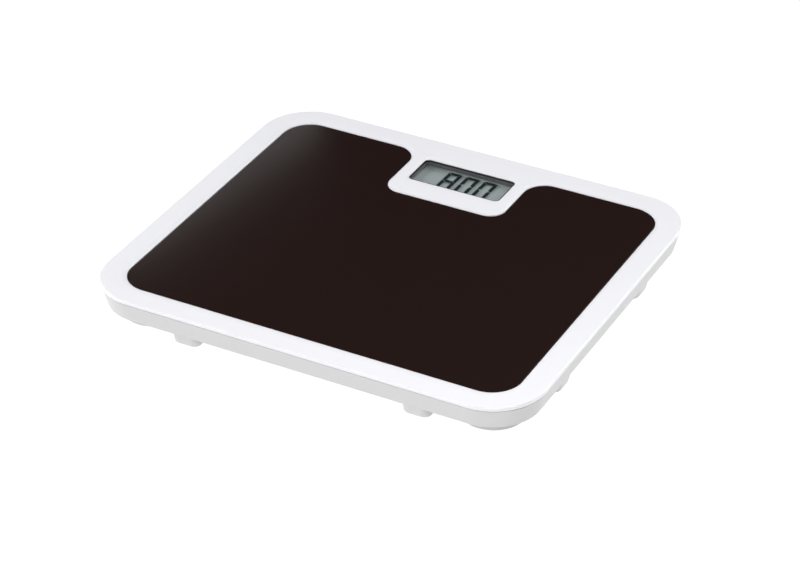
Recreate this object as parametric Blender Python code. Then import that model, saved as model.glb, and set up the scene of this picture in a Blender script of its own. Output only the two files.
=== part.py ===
"""Digital floor scale: a low white case with a sunk tread mat, a display island and four load-cell feet.

Metres, +Z up, +Y towards the display. The origin is on the floor, under the middle of the case.
"""

import math

import bmesh
import bpy
import numpy as np
from mathutils import Vector

MM = 0.001

# Clearances
GAP = 0.3 * MM
OVERRUN = 1.0 * MM
EMBED = 0.8 * MM

# Case, seen from above
CASE_WIDTH = 350.0 * MM
CASE_DEPTH = 300.0 * MM
CASE_CORNER_RADIUS = 40.0 * MM

# Top cover
RIM_TOP_Z = 29.5 * MM
RIM_SKIN = 2.2 * MM
PARTING_Z = 26.2 * MM
PARTING_GAP = 0.5 * MM
LIP_RADIUS = 2.2 * MM
CROWN_DROP = 0.3 * MM
CROWN_WIDTH = 10.0 * MM
TRAY_SKIN = 2.0 * MM
TRAY_WALL = 2.0 * MM
TONGUE_THICKNESS = 1.3 * MM
TONGUE_DEPTH = 2.2 * MM

# Tread mat and the island's notch in it
MAT_MARGIN = 18.8 * MM
MAT_CORNER_RADIUS = 23.0 * MM
MAT_THICKNESS = 1.5 * MM
MAT_BELOW_RIM = 1.2 * MM
MAT_EDGE_ROUND = 0.4 * MM
MAT_STEP = 0.2 * MM
DISH_WIDTH = 4.5 * MM
NOTCH_HALF_WIDTH = 48.9 * MM
NOTCH_FROM_BACK = 79.9 * MM
NOTCH_INNER_RADIUS = 13.0 * MM
NOTCH_OUTER_RADIUS = 18.0 * MM

# Display window and what stands behind it
WINDOW_WIDTH = 76.7 * MM
WINDOW_DEPTH = 32.3 * MM
WINDOW_RADIUS = 4.2 * MM
WINDOW_FROM_BACK = 43.05 * MM
WINDOW_BELOW_RIM = 0.6 * MM
BEZEL_WALL = 0.6 * MM
BEZEL_LEDGE = 0.8 * MM
BEZEL_FLANGE = 4.5 * MM
BEZEL_FLANGE_THICKNESS = 1.2 * MM
LENS_THICKNESS = 1.2 * MM
LENS_BELOW_RIM = 1.2 * MM
LCD_BELOW_RIM = 4.0 * MM
LCD_WIDTH = 80.0 * MM
LCD_DEPTH = 36.0 * MM
LCD_THICKNESS = 2.0 * MM
LCD_FRAME_WALL = 1.7 * MM
STRIP_LENGTH = 74.0 * MM
STRIP_WIDTH = 2.4 * MM
STRIP_HEIGHT = 2.3 * MM
STRIP_INSET = 2.2 * MM

# Main board and its parts
BOARD_WIDTH = 100.0 * MM
BOARD_DEPTH = 57.5 * MM
BOARD_FROM_BACK = 21.0 * MM
BOARD_THICKNESS = 1.6 * MM
BOARD_BOSS_RADIUS = 2.5 * MM
BOARD_BOSS_FRONT_SIDE_INSET = 10.0 * MM
BOARD_BOSS_FRONT_INSET = 7.5 * MM
BOARD_BOSS_BACK_SIDE_INSET = 4.4 * MM
BOARD_BOSS_BACK_INSET = 3.8 * MM
CHIP_RADIUS = 6.5 * MM
CHIP_HEIGHT = 1.8 * MM
CHIP_X = -8.0 * MM
CHIP_FROM_BOARD_FRONT = 28.5 * MM
CAPACITOR_RADIUS = 2.5 * MM
CAPACITOR_HEIGHT = 5.0 * MM
CAPACITOR_X = -34.0 * MM
CAPACITOR_FROM_BOARD_FRONT = 12.5 * MM
CRYSTAL_LENGTH = 8.0 * MM
CRYSTAL_WIDTH = 3.2 * MM
CRYSTAL_CORNER = 1.5 * MM
CRYSTAL_HEIGHT = 3.0 * MM
CRYSTAL_X = -24.0 * MM
CRYSTAL_FROM_BOARD_FRONT = 32.5 * MM

# Unit switch and button
BUTTON_X = 12.0 * MM
BUTTON_FROM_BOARD_FRONT = 12.5 * MM
BUTTON_RADIUS = 4.0 * MM
BUTTON_CLEARANCE = 0.4 * MM
BUTTON_RECESS = 0.4 * MM
BUTTON_FLANGE = 1.6 * MM
BUTTON_FLANGE_THICKNESS = 1.0 * MM
BUTTON_STEM_RADIUS = 1.5 * MM
BUTTON_GUIDE_WALL = 1.2 * MM
BUTTON_GUIDE_HEIGHT = 2.6 * MM
BUTTON_TRAVEL = 0.5 * MM
SWITCH_SIDE = 6.0 * MM
SWITCH_HEIGHT = 3.5 * MM
PLUNGER_RADIUS = 1.6 * MM
PLUNGER_STAND = 1.0 * MM
PLUNGER_DEPTH = 1.2 * MM

# Base shell
BASE_UNDER_Z = 10.0 * MM
BASE_SKIN = 2.0 * MM
BASE_WALL = 2.2 * MM
BASE_TOP_INSET = 0.3 * MM
BASE_BOTTOM_INSET = 4.4 * MM
BASE_EDGE_ROUND = 1.0 * MM
RIB_HEIGHT = 4.0 * MM
RIB_THICKNESS = 1.6 * MM
RIB_HALF_LENGTH = 98.0 * MM
RIBS_FROM_BAY = (36.0 * MM, 84.0 * MM)

# Stop posts round the lower edge
POST_HALF_LENGTH = 10.5 * MM
POST_DEPTH = 15.0 * MM
POST_CORNER_RADIUS = 5.7 * MM
POST_STEP = 0.6 * MM
POST_FOOT_Z = 1.0 * MM
POST_EDGE_ROUND = 1.2 * MM
POST_SKIN = 2.0 * MM
POST_FROM_FOOT_X = 44.3 * MM
POST_FROM_FOOT_Y = 45.6 * MM

# Feet
FOOT_INSET = 38.8 * MM
DISC_RADIUS = 24.3 * MM
DISC_BOTTOM_Z = 0.3 * MM
DISC_EDGE_ROUND = 0.8 * MM
DISC_WALL = 1.8 * MM
DISC_FLOOR = 2.2 * MM
DISC_CLEARANCE = 0.5 * MM
DISC_FLANGE = 1.8 * MM
DISC_FLANGE_THICKNESS = 1.6 * MM
DISC_POST_RADIUS = 5.5 * MM
PAD_RADIUS = 22.2 * MM
PAD_THICKNESS = 2.5 * MM
PAD_EDGE_ROUND = 0.5 * MM
PAD_GROOVE_DEPTH = 0.8 * MM
PAD_GROOVE_WIDTH = 2.0 * MM
PAD_GROOVE_RADIUS = 13.0 * MM
COLLAR_CLEARANCE = 0.8 * MM
COLLAR_WALL = 1.6 * MM
COLLAR_HEIGHT = 4.0 * MM

# Load cells and their holders
CELL_SIDE = 36.0 * MM
CELL_CORNER = 3.0 * MM
CELL_THICKNESS = 2.0 * MM
CELL_SLOT = 1.6 * MM
CELL_TONGUE_WIDTH = 13.0 * MM
CELL_SLOT_REACH = 12.5 * MM
HOLDER_SLAB = 3.6 * MM
HOLDER_RIM = 2.7 * MM
HOLDER_RIM_DEPTH = 2.5 * MM
HOLDER_RELIEF_SIDE = 25.0 * MM
HOLDER_RELIEF_DEPTH = 2.4 * MM
EAR_RADIUS = 4.2 * MM
EAR_REACH = 3.5 * MM
EAR_THICKNESS = 2.0 * MM
GAUGE_SIDE = 6.0 * MM
GAUGE_THICKNESS = 0.8 * MM
GAUGE_SHIFT = 3.2 * MM
LEAD_SHIFT = 6.0 * MM
LEAD_CHANNEL_WIDTH = 3.0 * MM

# Stiffener plate
PLATE_THICKNESS = 1.5 * MM
PLATE_MARGIN = 18.5 * MM
PLATE_CORNER_RADIUS = 24.0 * MM
PLATE_NOTCH_HALF_WIDTH = 57.0 * MM
PLATE_NOTCH_CLEARANCE = 4.0 * MM
PLATE_NOTCH_RADIUS = 6.0 * MM

# Battery bay, cells and door
BATTERY_RADIUS = 5.25 * MM
BATTERY_LENGTH = 44.5 * MM
BATTERY_NUB_RADIUS = 1.9 * MM
BATTERY_NUB_LENGTH = 0.9 * MM
BATTERY_EDGE = 0.5 * MM
BATTERY_PITCH = 11.0 * MM
BATTERY_COUNT = 4
BATTERY_ROW_FROM_BOARD = 33.5 * MM
BAY_HALF_WIDTH = 27.0 * MM
BAY_WALL = 1.5 * MM
BAY_ROOF = 1.3 * MM
BAY_FRONT_MARGIN = 6.0 * MM
BAY_SIDE_CLEARANCE = 0.75 * MM
BAY_DOOR_LEDGE = 2.0 * MM
DOOR_THICKNESS = 1.6 * MM
DOOR_HOOK_X = 15.0 * MM
DOOR_HOOK_WIDTH = 6.0 * MM
DOOR_HOOK_REACH = 2.5 * MM
DOOR_HOOK_THICKNESS = 1.5 * MM
DOOR_LATCH_WIDTH = 12.0 * MM
DOOR_LATCH_HEIGHT = 2.0 * MM
DOOR_LATCH_THICKNESS = 1.3 * MM
DOOR_LATCH_INSET = 0.2 * MM
FINGER_WIDTH = 14.0 * MM
FINGER_LENGTH = 6.0 * MM
FINGER_DEPTH = 1.0 * MM
CONTACT_SIDE = 9.0 * MM
CONTACT_THICKNESS = 0.4 * MM
CONTACT_DIMPLE_RADIUS = 2.2 * MM
CONTACT_DIMPLE_HEIGHT = 1.7 * MM
SPRING_WIRE = 0.7 * MM
SPRING_BASE_RADIUS = 3.5 * MM
SPRING_TIP_RADIUS = 2.3 * MM
SPRING_TURNS = 2.5
SPRING_SIDES = 5

# Wires and leads
WIRE_RADIUS = 0.7 * MM
WIRE_HOLE_RADIUS = 1.2 * MM
WIRE_RISE = 2.0 * MM
LEAD_RADIUS = 0.9 * MM
LEAD_SPACING = 9.0 * MM
WIRE_SPACING = 5.0 * MM
LEAD_RUN_Z = 17.6 * MM
LEAD_END_INSET = 7.0 * MM
LEAD_LAND_INSET = 1.0 * MM
FRONT_LEAD_END_INSET = 16.5 * MM
BACK_LEAD_END_INSET = 29.5 * MM
WIRE_LAND_INSET = 0.5 * MM
WIRE_END_INSET = 5.0 * MM
# Bends of the right-hand front lead in plan, from the foot's middle, then from the board's front right corner
FRONT_LEAD_BENDS_BY_FOOT = ((-7.6 * MM, 39.6 * MM), (-20.6 * MM, 67.6 * MM))
FRONT_LEAD_BENDS_BY_BOARD = (
    (53.0 * MM, -79.5 * MM),
    (45.0 * MM, -41.5 * MM),
    (32.0 * MM, -9.5 * MM),
    (16.0 * MM, 10.5 * MM),
)
# Bends of the back leads, as shares of the run from the holder to the board's edge
BACK_LEAD_BEND_SHARES = (0.25, 0.5, 0.75)
# Bends of the two battery wires between the bay's wall and the board, in plan, from the row of batteries
RED_WIRE_BENDS = (
    (31.6 * MM, -15.4 * MM),
    (35.0 * MM, -11.0 * MM),
    (36.0 * MM, 2.0 * MM),
    (36.0 * MM, 24.0 * MM),
)
BLACK_WIRE_BENDS = ((31.4 * MM, 17.6 * MM), (33.0 * MM, 21.5 * MM), (33.0 * MM, 28.0 * MM))

# Screws
CASE_SCREW_INSET = 11.0 * MM
CASE_SCREW_ALONG_X = 46.0 * MM
CASE_BOSS_RADIUS = 4.0 * MM
CASE_BOSS_TOP_Z = 17.7 * MM
COVER_BOSS_RADIUS = 3.5 * MM
CASE_HEAD_RADIUS = 2.8 * MM
CASE_HEAD_HEIGHT = 1.6 * MM
CASE_HEAD_SEAT_Z = 14.5 * MM
SCREW_SHANK_RADIUS = 1.2 * MM
SCREW_HOLE_CLEARANCE = 0.3 * MM
CASE_SCREW_LENGTH = 10.0 * MM
PLATE_SCREW_INSET = 40.0 * MM
PLATE_SCREW_Y = 34.0 * MM
PLATE_SCREW_FRONT_X = 50.0 * MM
PLATE_SCREW_FRONT_INSET = 42.0 * MM
PLATE_BOSS_RADIUS = 3.0 * MM
PLATE_BOSS_RECESS = 0.5 * MM
PLATE_SCREW_LENGTH = 3.2 * MM
BOARD_SHANK_RADIUS = 0.8 * MM
BOARD_SCREW_LENGTH = 6.0 * MM

# Facets, as counts
CORNER_STEPS = 8
SMALL_CORNER_STEPS = 4
EDGE_STEPS = 2
DISH_STEPS = 3
POST_CORNER_STEPS = 3
DISC_SIDES = 28
COLLAR_SIDES = 20
BUTTON_SIDES = 16
BOSS_SIDES = 10
BATTERY_SIDES = 14
SPRING_POINTS_PER_TURN = 7
ROUTE_STEPS = 24
TUBE_RESOLUTION = 2

# Heights that follow from the stack of pieces
MAT_TOP_Z = RIM_TOP_Z - MAT_BELOW_RIM
MAT_UNDER_Z = MAT_TOP_Z - MAT_THICKNESS
TRAY_FLOOR_Z = MAT_UNDER_Z - GAP
TRAY_UNDER_Z = TRAY_FLOOR_Z - TRAY_SKIN
RIM_UNDER_Z = RIM_TOP_Z - RIM_SKIN
PLATE_TOP_Z = TRAY_UNDER_Z - GAP
PLATE_UNDER_Z = PLATE_TOP_Z - PLATE_THICKNESS
HOLDER_TOP_Z = PLATE_UNDER_Z - GAP
HOLDER_SEAT_Z = HOLDER_TOP_Z - HOLDER_SLAB
CELL_TOP_Z = HOLDER_SEAT_Z - GAP
CELL_UNDER_Z = CELL_TOP_Z - CELL_THICKNESS
BASE_FLOOR_Z = BASE_UNDER_Z + BASE_SKIN
BASE_TOP_Z = PARTING_Z - PARTING_GAP
LCD_FACE_Z = RIM_TOP_Z - LCD_BELOW_RIM
LCD_UNDER_Z = LCD_FACE_Z - LCD_THICKNESS
STRIP_TOP_Z = LCD_UNDER_Z - GAP
BOARD_TOP_Z = STRIP_TOP_Z - STRIP_HEIGHT - GAP
BOARD_UNDER_Z = BOARD_TOP_Z - BOARD_THICKNESS
PARTS_TOP_Z = BOARD_UNDER_Z - GAP
BAY_TOP_Z = TRAY_UNDER_Z - GAP
BAY_CEILING_Z = BAY_TOP_Z - BAY_ROOF
BATTERY_Z = BAY_CEILING_Z - GAP - BATTERY_RADIUS
SWITCH_UNDER_Z = PARTS_TOP_Z - SWITCH_HEIGHT
PLUNGER_UNDER_Z = SWITCH_UNDER_Z - PLUNGER_STAND
LEAD_END_Z = BOARD_UNDER_Z - GAP - LEAD_RADIUS
LEAD_START_Z = (CELL_TOP_Z + HOLDER_SEAT_Z + HOLDER_RELIEF_DEPTH) / 2

# Places in plan that follow from the sizes above
FOOT_X = CASE_WIDTH / 2 - FOOT_INSET
FOOT_Y = CASE_DEPTH / 2 - FOOT_INSET
POST_ALONG_X = FOOT_X - POST_FROM_FOOT_X
POST_ALONG_Y = FOOT_Y - POST_FROM_FOOT_Y
NOTCH_FRONT_Y = CASE_DEPTH / 2 - NOTCH_FROM_BACK
WINDOW_Y = CASE_DEPTH / 2 - WINDOW_FROM_BACK
BOARD_BACK_Y = CASE_DEPTH / 2 - BOARD_FROM_BACK
BOARD_FRONT_Y = BOARD_BACK_Y - BOARD_DEPTH
CHIP_Y = BOARD_FRONT_Y + CHIP_FROM_BOARD_FRONT
CAPACITOR_Y = BOARD_FRONT_Y + CAPACITOR_FROM_BOARD_FRONT
CRYSTAL_Y = BOARD_FRONT_Y + CRYSTAL_FROM_BOARD_FRONT
BUTTON_Y = BOARD_FRONT_Y + BUTTON_FROM_BOARD_FRONT
BATTERY_ROW_Y = BOARD_FRONT_Y - BATTERY_ROW_FROM_BOARD
HOLDER_HALF = CELL_SIDE / 2 + GAP + HOLDER_RIM
EAR_CENTRE = HOLDER_HALF + EAR_REACH
BATTERY_ROW_HALF = BATTERY_PITCH * (BATTERY_COUNT - 1) / 2 + BATTERY_RADIUS
BAY_BACK_Y = BATTERY_ROW_Y + BATTERY_ROW_HALF + BAY_SIDE_CLEARANCE
OPENING_FRONT_Y = BATTERY_ROW_Y - BATTERY_ROW_HALF - BAY_DOOR_LEDGE - BAY_SIDE_CLEARANCE
BAY_FRONT_Y = OPENING_FRONT_Y - BAY_FRONT_MARGIN
PLATE_NOTCH_FRONT_Y = BAY_FRONT_Y - BAY_WALL - PLATE_NOTCH_CLEARANCE
DOOR_FRONT_Y = OPENING_FRONT_Y + GAP
DOOR_BACK_Y = BAY_BACK_Y - GAP
CONTACT_FACE_X = BAY_HALF_WIDTH - GAP - CONTACT_THICKNESS
BATTERY_TIP_X = CONTACT_FACE_X - CONTACT_DIMPLE_HEIGHT - GAP

# Each corner: its name, and the signs of X and Y
CORNERS = (
    ("front_left", -1, -1),
    ("front_right", 1, -1),
    ("back_left", -1, 1),
    ("back_right", 1, 1),
)


def clear_scene():
    """Remove every object that the file opened with."""
    for obj in list(bpy.data.objects):
        bpy.data.objects.remove(obj, do_unlink=True)


def make_material(name, colour, roughness, metallic=0.0, alpha=1.0):
    """A Principled material in linear colour."""
    material = bpy.data.materials.new(name)
    material.use_nodes = True
    shader = material.node_tree.nodes["Principled BSDF"]
    shader.inputs["Base Color"].default_value = (*colour, 1.0)
    shader.inputs["Roughness"].default_value = roughness
    shader.inputs["Metallic"].default_value = metallic
    shader.inputs["Alpha"].default_value = alpha
    material.diffuse_color = (*colour, alpha)
    return material


def arc(centre_x, centre_y, radius, start_deg, end_deg, steps):
    """Points along an arc, both ends included."""
    angles = np.linspace(math.radians(start_deg), math.radians(end_deg), steps + 1)
    return [(centre_x + radius * math.cos(a), centre_y + radius * math.sin(a)) for a in angles]


def rounded_outline(half_x, half_y, radius, steps=CORNER_STEPS, centre_y=0.0):
    """A rounded rectangle, counter-clockwise."""
    x = half_x - radius
    y = half_y - radius
    points = []
    for sign_x, sign_y, start in ((1, 1, 0), (-1, 1, 90), (-1, -1, 180), (1, -1, 270)):
        points += arc(sign_x * x, centre_y + sign_y * y, radius, start, start + 90, steps)
    return points


def case_outline(inset):
    """The case's outline, drawn in by a distance."""
    return rounded_outline(CASE_WIDTH / 2 - inset, CASE_DEPTH / 2 - inset, CASE_CORNER_RADIUS - inset)


def window_outline(grow):
    """The display window's outline, grown by a distance."""
    return rounded_outline(
        WINDOW_WIDTH / 2 + grow, WINDOW_DEPTH / 2 + grow, WINDOW_RADIUS + grow, SMALL_CORNER_STEPS, WINDOW_Y
    )


def notched_outline(half_x, half_y, radius, notch_x, notch_y, inner, outer):
    """A rounded rectangle with a rounded notch in its back edge, counter-clockwise."""
    steps = SMALL_CORNER_STEPS + EDGE_STEPS
    points = arc(half_x - radius, radius - half_y, radius, -90, 0, CORNER_STEPS)
    points += arc(half_x - radius, half_y - radius, radius, 0, 90, CORNER_STEPS)
    points += arc(notch_x + outer, half_y - outer, outer, 90, 180, steps)
    points += arc(notch_x - inner, notch_y + inner, inner, 0, -90, steps)
    points += arc(inner - notch_x, notch_y + inner, inner, -90, -180, steps)
    points += arc(-notch_x - outer, half_y - outer, outer, 0, 90, steps)
    points += arc(radius - half_x, half_y - radius, radius, 90, 180, CORNER_STEPS)
    points += arc(radius - half_x, radius - half_y, radius, 180, 270, CORNER_STEPS)
    return points


def mat_outline(grow):
    """The tread mat's outline, grown by a distance."""
    return notched_outline(
        CASE_WIDTH / 2 - MAT_MARGIN + grow,
        CASE_DEPTH / 2 - MAT_MARGIN + grow,
        MAT_CORNER_RADIUS + grow,
        NOTCH_HALF_WIDTH - grow,
        NOTCH_FRONT_Y + grow,
        NOTCH_INNER_RADIUS - grow,
        NOTCH_OUTER_RADIUS + grow,
    )


def add_stack(bm, levels):
    """Add one closed solid through outlines of equal count, given as (outline, z) from the bottom up."""
    rings = [[bm.verts.new((x, y, z)) for x, y in outline] for outline, z in levels]
    count = len(rings[0])
    bm.faces.new(list(reversed(rings[0])))
    bm.faces.new(rings[-1])
    for low, high in zip(rings, rings[1:]):
        for i in range(count):
            j = (i + 1) % count
            bm.faces.new((low[i], low[j], high[j], high[i]))


def add_box(bm, low, high):
    """Add a box between two corners."""
    outline = [(low[0], low[1]), (high[0], low[1]), (high[0], high[1]), (low[0], high[1])]
    add_stack(bm, [(outline, low[2]), (outline, high[2])])


def add_prism_x(bm, section, low_x, high_x):
    """Add a solid that runs along X, from its section in (y, z), counter-clockwise."""
    left = [bm.verts.new((low_x, y, z)) for y, z in section]
    right = [bm.verts.new((high_x, y, z)) for y, z in section]
    bm.faces.new(list(reversed(left)))
    bm.faces.new(right)
    for i in range(len(section)):
        j = (i + 1) % len(section)
        bm.faces.new((left[i], left[j], right[j], right[i]))


def add_turned(bm, profile, sides, centre=(0.0, 0.0), closed=False):
    """Add a solid turned about a vertical axis.

    An open profile of (radius, z) runs from the axis at the bottom, up the outside, to the axis at the top.
    A closed one is a ring's section, counter-clockwise with the radius to the right.
    """
    angles = [2 * math.pi * i / sides for i in range(sides)]
    rings = []
    for radius, z in profile:
        if radius == 0.0:
            rings.append([bm.verts.new((centre[0], centre[1], z))])
            continue
        ring = [(centre[0] + radius * math.cos(a), centre[1] + radius * math.sin(a), z) for a in angles]
        rings.append([bm.verts.new(point) for point in ring])
    pairs = list(zip(rings, rings[1:]))
    if closed:
        pairs.append((rings[-1], rings[0]))
    for low, high in pairs:
        for i in range(sides):
            j = (i + 1) % sides
            if len(low) == 1:
                bm.faces.new((low[0], high[j], high[i]))
            elif len(high) == 1:
                bm.faces.new((low[i], low[j], high[0]))
            else:
                bm.faces.new((low[i], low[j], high[j], high[i]))


def make_object(name, bm, material=None, location=(0.0, 0.0, 0.0), smooth_deg=35.0):
    """Turn a bmesh into an object of its own."""
    mesh = bpy.data.meshes.new(name)
    bm.to_mesh(mesh)
    bm.free()
    if material:
        mesh.materials.append(material)
    mesh.shade_smooth()
    mesh.set_sharp_from_angle(angle=math.radians(smooth_deg))
    obj = bpy.data.objects.new(name, mesh)
    obj.location = location
    bpy.context.scene.collection.objects.link(obj)
    return obj


def shape(obj, tool_name, operation, build):
    """Join a tool to an object, or cut it away. The tool stays in the file as a hidden guide."""
    bm = bmesh.new()
    build(bm)
    tool = make_object(f"{obj.name}_{tool_name}", bm, location=obj.location)
    tool.hide_render = True
    tool.display_type = "WIRE"
    modifier = obj.modifiers.new(tool_name, "BOOLEAN")
    modifier.operation = operation
    modifier.object = tool
    return tool


def disc_profile(low_z, high_z, radius):
    """A plain cylinder's profile."""
    return [(0.0, low_z), (radius, low_z), (radius, high_z), (0.0, high_z)]


def case_screw_places():
    """Where the case screws stand, in plan."""
    x = CASE_WIDTH / 2 - CASE_SCREW_INSET
    y = CASE_DEPTH / 2 - CASE_SCREW_INSET
    ends = [(sx * CASE_SCREW_ALONG_X, sy * y) for sx in (-1, 1) for sy in (-1, 1)]
    return [*ends, (-x, 0.0), (x, 0.0)]


def plate_screw_places():
    """Where the stiffener is screwed to the cover, in plan."""
    x = CASE_WIDTH / 2 - PLATE_SCREW_INSET
    front = PLATE_SCREW_FRONT_INSET - CASE_DEPTH / 2
    sides = [(sx * x, sy * PLATE_SCREW_Y) for sx in (-1, 1) for sy in (-1, 1)]
    return sides + [(sx * PLATE_SCREW_FRONT_X, front) for sx in (-1, 1)]


def board_screw_places():
    """Where the main board is screwed to the cover, in plan."""
    front = (BOARD_WIDTH / 2 - BOARD_BOSS_FRONT_SIDE_INSET, BOARD_FRONT_Y + BOARD_BOSS_FRONT_INSET)
    back = (BOARD_WIDTH / 2 - BOARD_BOSS_BACK_SIDE_INSET, BOARD_BACK_Y - BOARD_BOSS_BACK_INSET)
    return [(sx * x, y) for sx in (-1, 1) for x, y in (front, back)]


def corner_turn(corner):
    """How far a corner is turned from the back right one."""
    return math.atan2(corner[2], corner[1]) - math.pi / 4


def at_corner(x, y, corner):
    """A point given for the back right foot, turned to another corner, in plan."""
    _, sign_x, sign_y = corner
    a = corner_turn(corner)
    return (
        sign_x * FOOT_X + x * math.cos(a) - y * math.sin(a),
        sign_y * FOOT_Y + x * math.sin(a) + y * math.cos(a),
    )


def holder_screw_places():
    """Where the cell holders are screwed to the stiffener, in plan."""
    ears = ((-EAR_CENTRE, 0.0), (0.0, -EAR_CENTRE))
    return [at_corner(x, y, corner) for corner in CORNERS for x, y in ears]


def wall_inset(z):
    """How far the base's tapered outer wall stands in from the case's outline."""
    share = (z - BASE_UNDER_Z) / (BASE_TOP_Z - BASE_UNDER_Z)
    return BASE_BOTTOM_INSET + share * (BASE_TOP_INSET - BASE_BOTTOM_INSET)


def post_outlines(z, grow):
    """Outlines of the eight stop posts at a height. Their outer faces follow the wall's taper."""
    face = wall_inset(z) + POST_STEP
    back = BASE_BOTTOM_INSET + POST_STEP + POST_DEPTH
    half = (back - face) / 2 + grow
    outline = rounded_outline(POST_HALF_LENGTH + grow, half, POST_CORNER_RADIUS + grow, POST_CORNER_STEPS)
    x = CASE_WIDTH / 2 - (face + back) / 2
    y = CASE_DEPTH / 2 - (face + back) / 2
    outlines = []
    for sx, sy in ((-1, -1), (1, -1), (-1, 1), (1, 1)):
        outlines.append([(sx * POST_ALONG_X + a, sy * y + b) for a, b in outline])
        outlines.append([(sx * x - b, sy * POST_ALONG_Y + a) for a, b in outline])
    return outlines


def add_posts(bm, levels):
    """Add a solid for each stop post through levels of (z, grow)."""
    stacks = [post_outlines(z, grow) for z, grow in levels]
    for outlines in zip(*stacks):
        add_stack(bm, [(outline, z) for outline, (z, _) in zip(outlines, levels)])


def dished(outline, grow, low_z, edge_z):
    """Levels of an opening in the rim, whose edge eases down in a shallow dish."""
    levels = [(outline(grow), low_z)]
    for i in range(DISH_STEPS + 1):
        share = i / DISH_STEPS
        z = RIM_TOP_Z - (RIM_TOP_Z - edge_z) * (1 - share) ** 2
        levels.append((outline(grow + share * DISH_WIDTH), z))
    levels.append((outline(grow + DISH_WIDTH), RIM_TOP_Z + OVERRUN))
    return levels


def make_top_cover(material):
    """White moulding: crowned rim, sunk tray, island with the window, tongue and bosses."""
    tongue_z = BASE_TOP_Z - TONGUE_DEPTH
    tongue_inset = wall_inset(tongue_z) + BASE_WALL + GAP
    pocket_inset = tongue_inset + TONGUE_THICKNESS
    lip_top_z = RIM_TOP_Z - CROWN_DROP
    levels = [(case_outline(0.0), PARTING_Z)]
    for i in range(EDGE_STEPS + 1):
        a = math.radians(90 * i / EDGE_STEPS)
        inset = LIP_RADIUS * (1 - math.cos(a))
        levels.append((case_outline(inset), lip_top_z - LIP_RADIUS * (1 - math.sin(a))))
    levels.append((case_outline(CROWN_WIDTH), RIM_TOP_Z))
    bm = bmesh.new()
    add_stack(bm, levels)
    cover = make_object("top_cover", bm, material)

    def tongue(bm):
        outline = case_outline(tongue_inset)
        add_stack(bm, [(outline, tongue_z), (outline, PARTING_Z + EMBED)])

    def pocket(bm):
        outline = case_outline(pocket_inset)
        add_stack(bm, [(outline, tongue_z - OVERRUN), (outline, RIM_UNDER_Z)])

    def tub(bm):
        outline = mat_outline(GAP + TRAY_WALL)
        add_stack(bm, [(outline, TRAY_UNDER_Z), (outline, RIM_UNDER_Z + OVERRUN)])

    def openings(bm):
        add_stack(bm, dished(mat_outline, GAP, TRAY_FLOOR_Z, MAT_TOP_Z + MAT_STEP))
        add_stack(bm, dished(window_outline, 0.0, RIM_UNDER_Z - OVERRUN, RIM_TOP_Z - WINDOW_BELOW_RIM))

    def bosses(bm):
        for place in case_screw_places():
            profile = disc_profile(CASE_BOSS_TOP_Z + GAP, RIM_UNDER_Z + EMBED, COVER_BOSS_RADIUS)
            add_turned(bm, profile, BOSS_SIDES, place)
        for place in plate_screw_places():
            profile = disc_profile(PLATE_UNDER_Z + PLATE_BOSS_RECESS, TRAY_UNDER_Z + EMBED, PLATE_BOSS_RADIUS)
            add_turned(bm, profile, BOSS_SIDES, place)
        for place in board_screw_places():
            profile = disc_profile(BOARD_TOP_Z + GAP, RIM_UNDER_Z + EMBED, BOARD_BOSS_RADIUS)
            add_turned(bm, profile, BOSS_SIDES, place)

    def pilots(bm):
        case_depth = CASE_HEAD_SEAT_Z + CASE_SCREW_LENGTH + GAP
        shank = SCREW_SHANK_RADIUS + SCREW_HOLE_CLEARANCE
        for place in case_screw_places():
            add_turned(bm, disc_profile(CASE_BOSS_TOP_Z - OVERRUN, case_depth, shank), BOSS_SIDES, place)
        for place in plate_screw_places():
            depth = PLATE_UNDER_Z + PLATE_SCREW_LENGTH
            add_turned(bm, disc_profile(PLATE_UNDER_Z - OVERRUN, depth, shank), BOSS_SIDES, place)
        for place in board_screw_places():
            depth = BOARD_UNDER_Z + BOARD_SCREW_LENGTH
            profile = disc_profile(BOARD_TOP_Z - OVERRUN, depth, BOARD_SHANK_RADIUS + SCREW_HOLE_CLEARANCE)
            add_turned(bm, profile, BOSS_SIDES, place)

    shape(cover, "tongue", "UNION", tongue)
    hollow = shape(cover, "pocket", "DIFFERENCE", pocket)
    shape(hollow, "tub", "DIFFERENCE", tub)
    shape(cover, "openings", "DIFFERENCE", openings)
    shape(cover, "bosses", "UNION", bosses)
    shape(cover, "pilots", "DIFFERENCE", pilots)
    return cover


def make_tread_mat(material):
    """Dark mat that lies in the cover's tray."""
    bm = bmesh.new()
    add_stack(
        bm,
        [
            (mat_outline(0.0), MAT_UNDER_Z),
            (mat_outline(0.0), MAT_TOP_Z - MAT_EDGE_ROUND),
            (mat_outline(-MAT_EDGE_ROUND), MAT_TOP_Z),
        ],
    )
    return make_object("tread_mat", bm, material)


def make_display_bezel(material):
    """Dark frame: a wall up into the window, a ledge for the lens and a flange under the cover."""
    flange_under = LCD_FACE_Z + GAP
    lens_seat = RIM_TOP_Z - LENS_BELOW_RIM - LENS_THICKNESS - GAP
    outer = window_outline(-GAP)
    bm = bmesh.new()
    add_stack(bm, [(outer, flange_under), (outer, RIM_TOP_Z - WINDOW_BELOW_RIM - GAP)])
    bezel = make_object("display_bezel", bm, material)

    def flange(bm):
        outline = window_outline(BEZEL_FLANGE)
        add_stack(bm, [(outline, flange_under), (outline, flange_under + BEZEL_FLANGE_THICKNESS)])

    def opening(bm):
        sight = window_outline(-GAP - BEZEL_WALL - BEZEL_LEDGE)
        pocket = window_outline(-GAP - BEZEL_WALL)
        levels = [(sight, flange_under - OVERRUN), (sight, lens_seat), (pocket, lens_seat)]
        add_stack(bm, levels + [(pocket, RIM_TOP_Z + OVERRUN)])

    shape(bezel, "flange", "UNION", flange)
    shape(bezel, "opening", "DIFFERENCE", opening)
    return bezel


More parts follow.
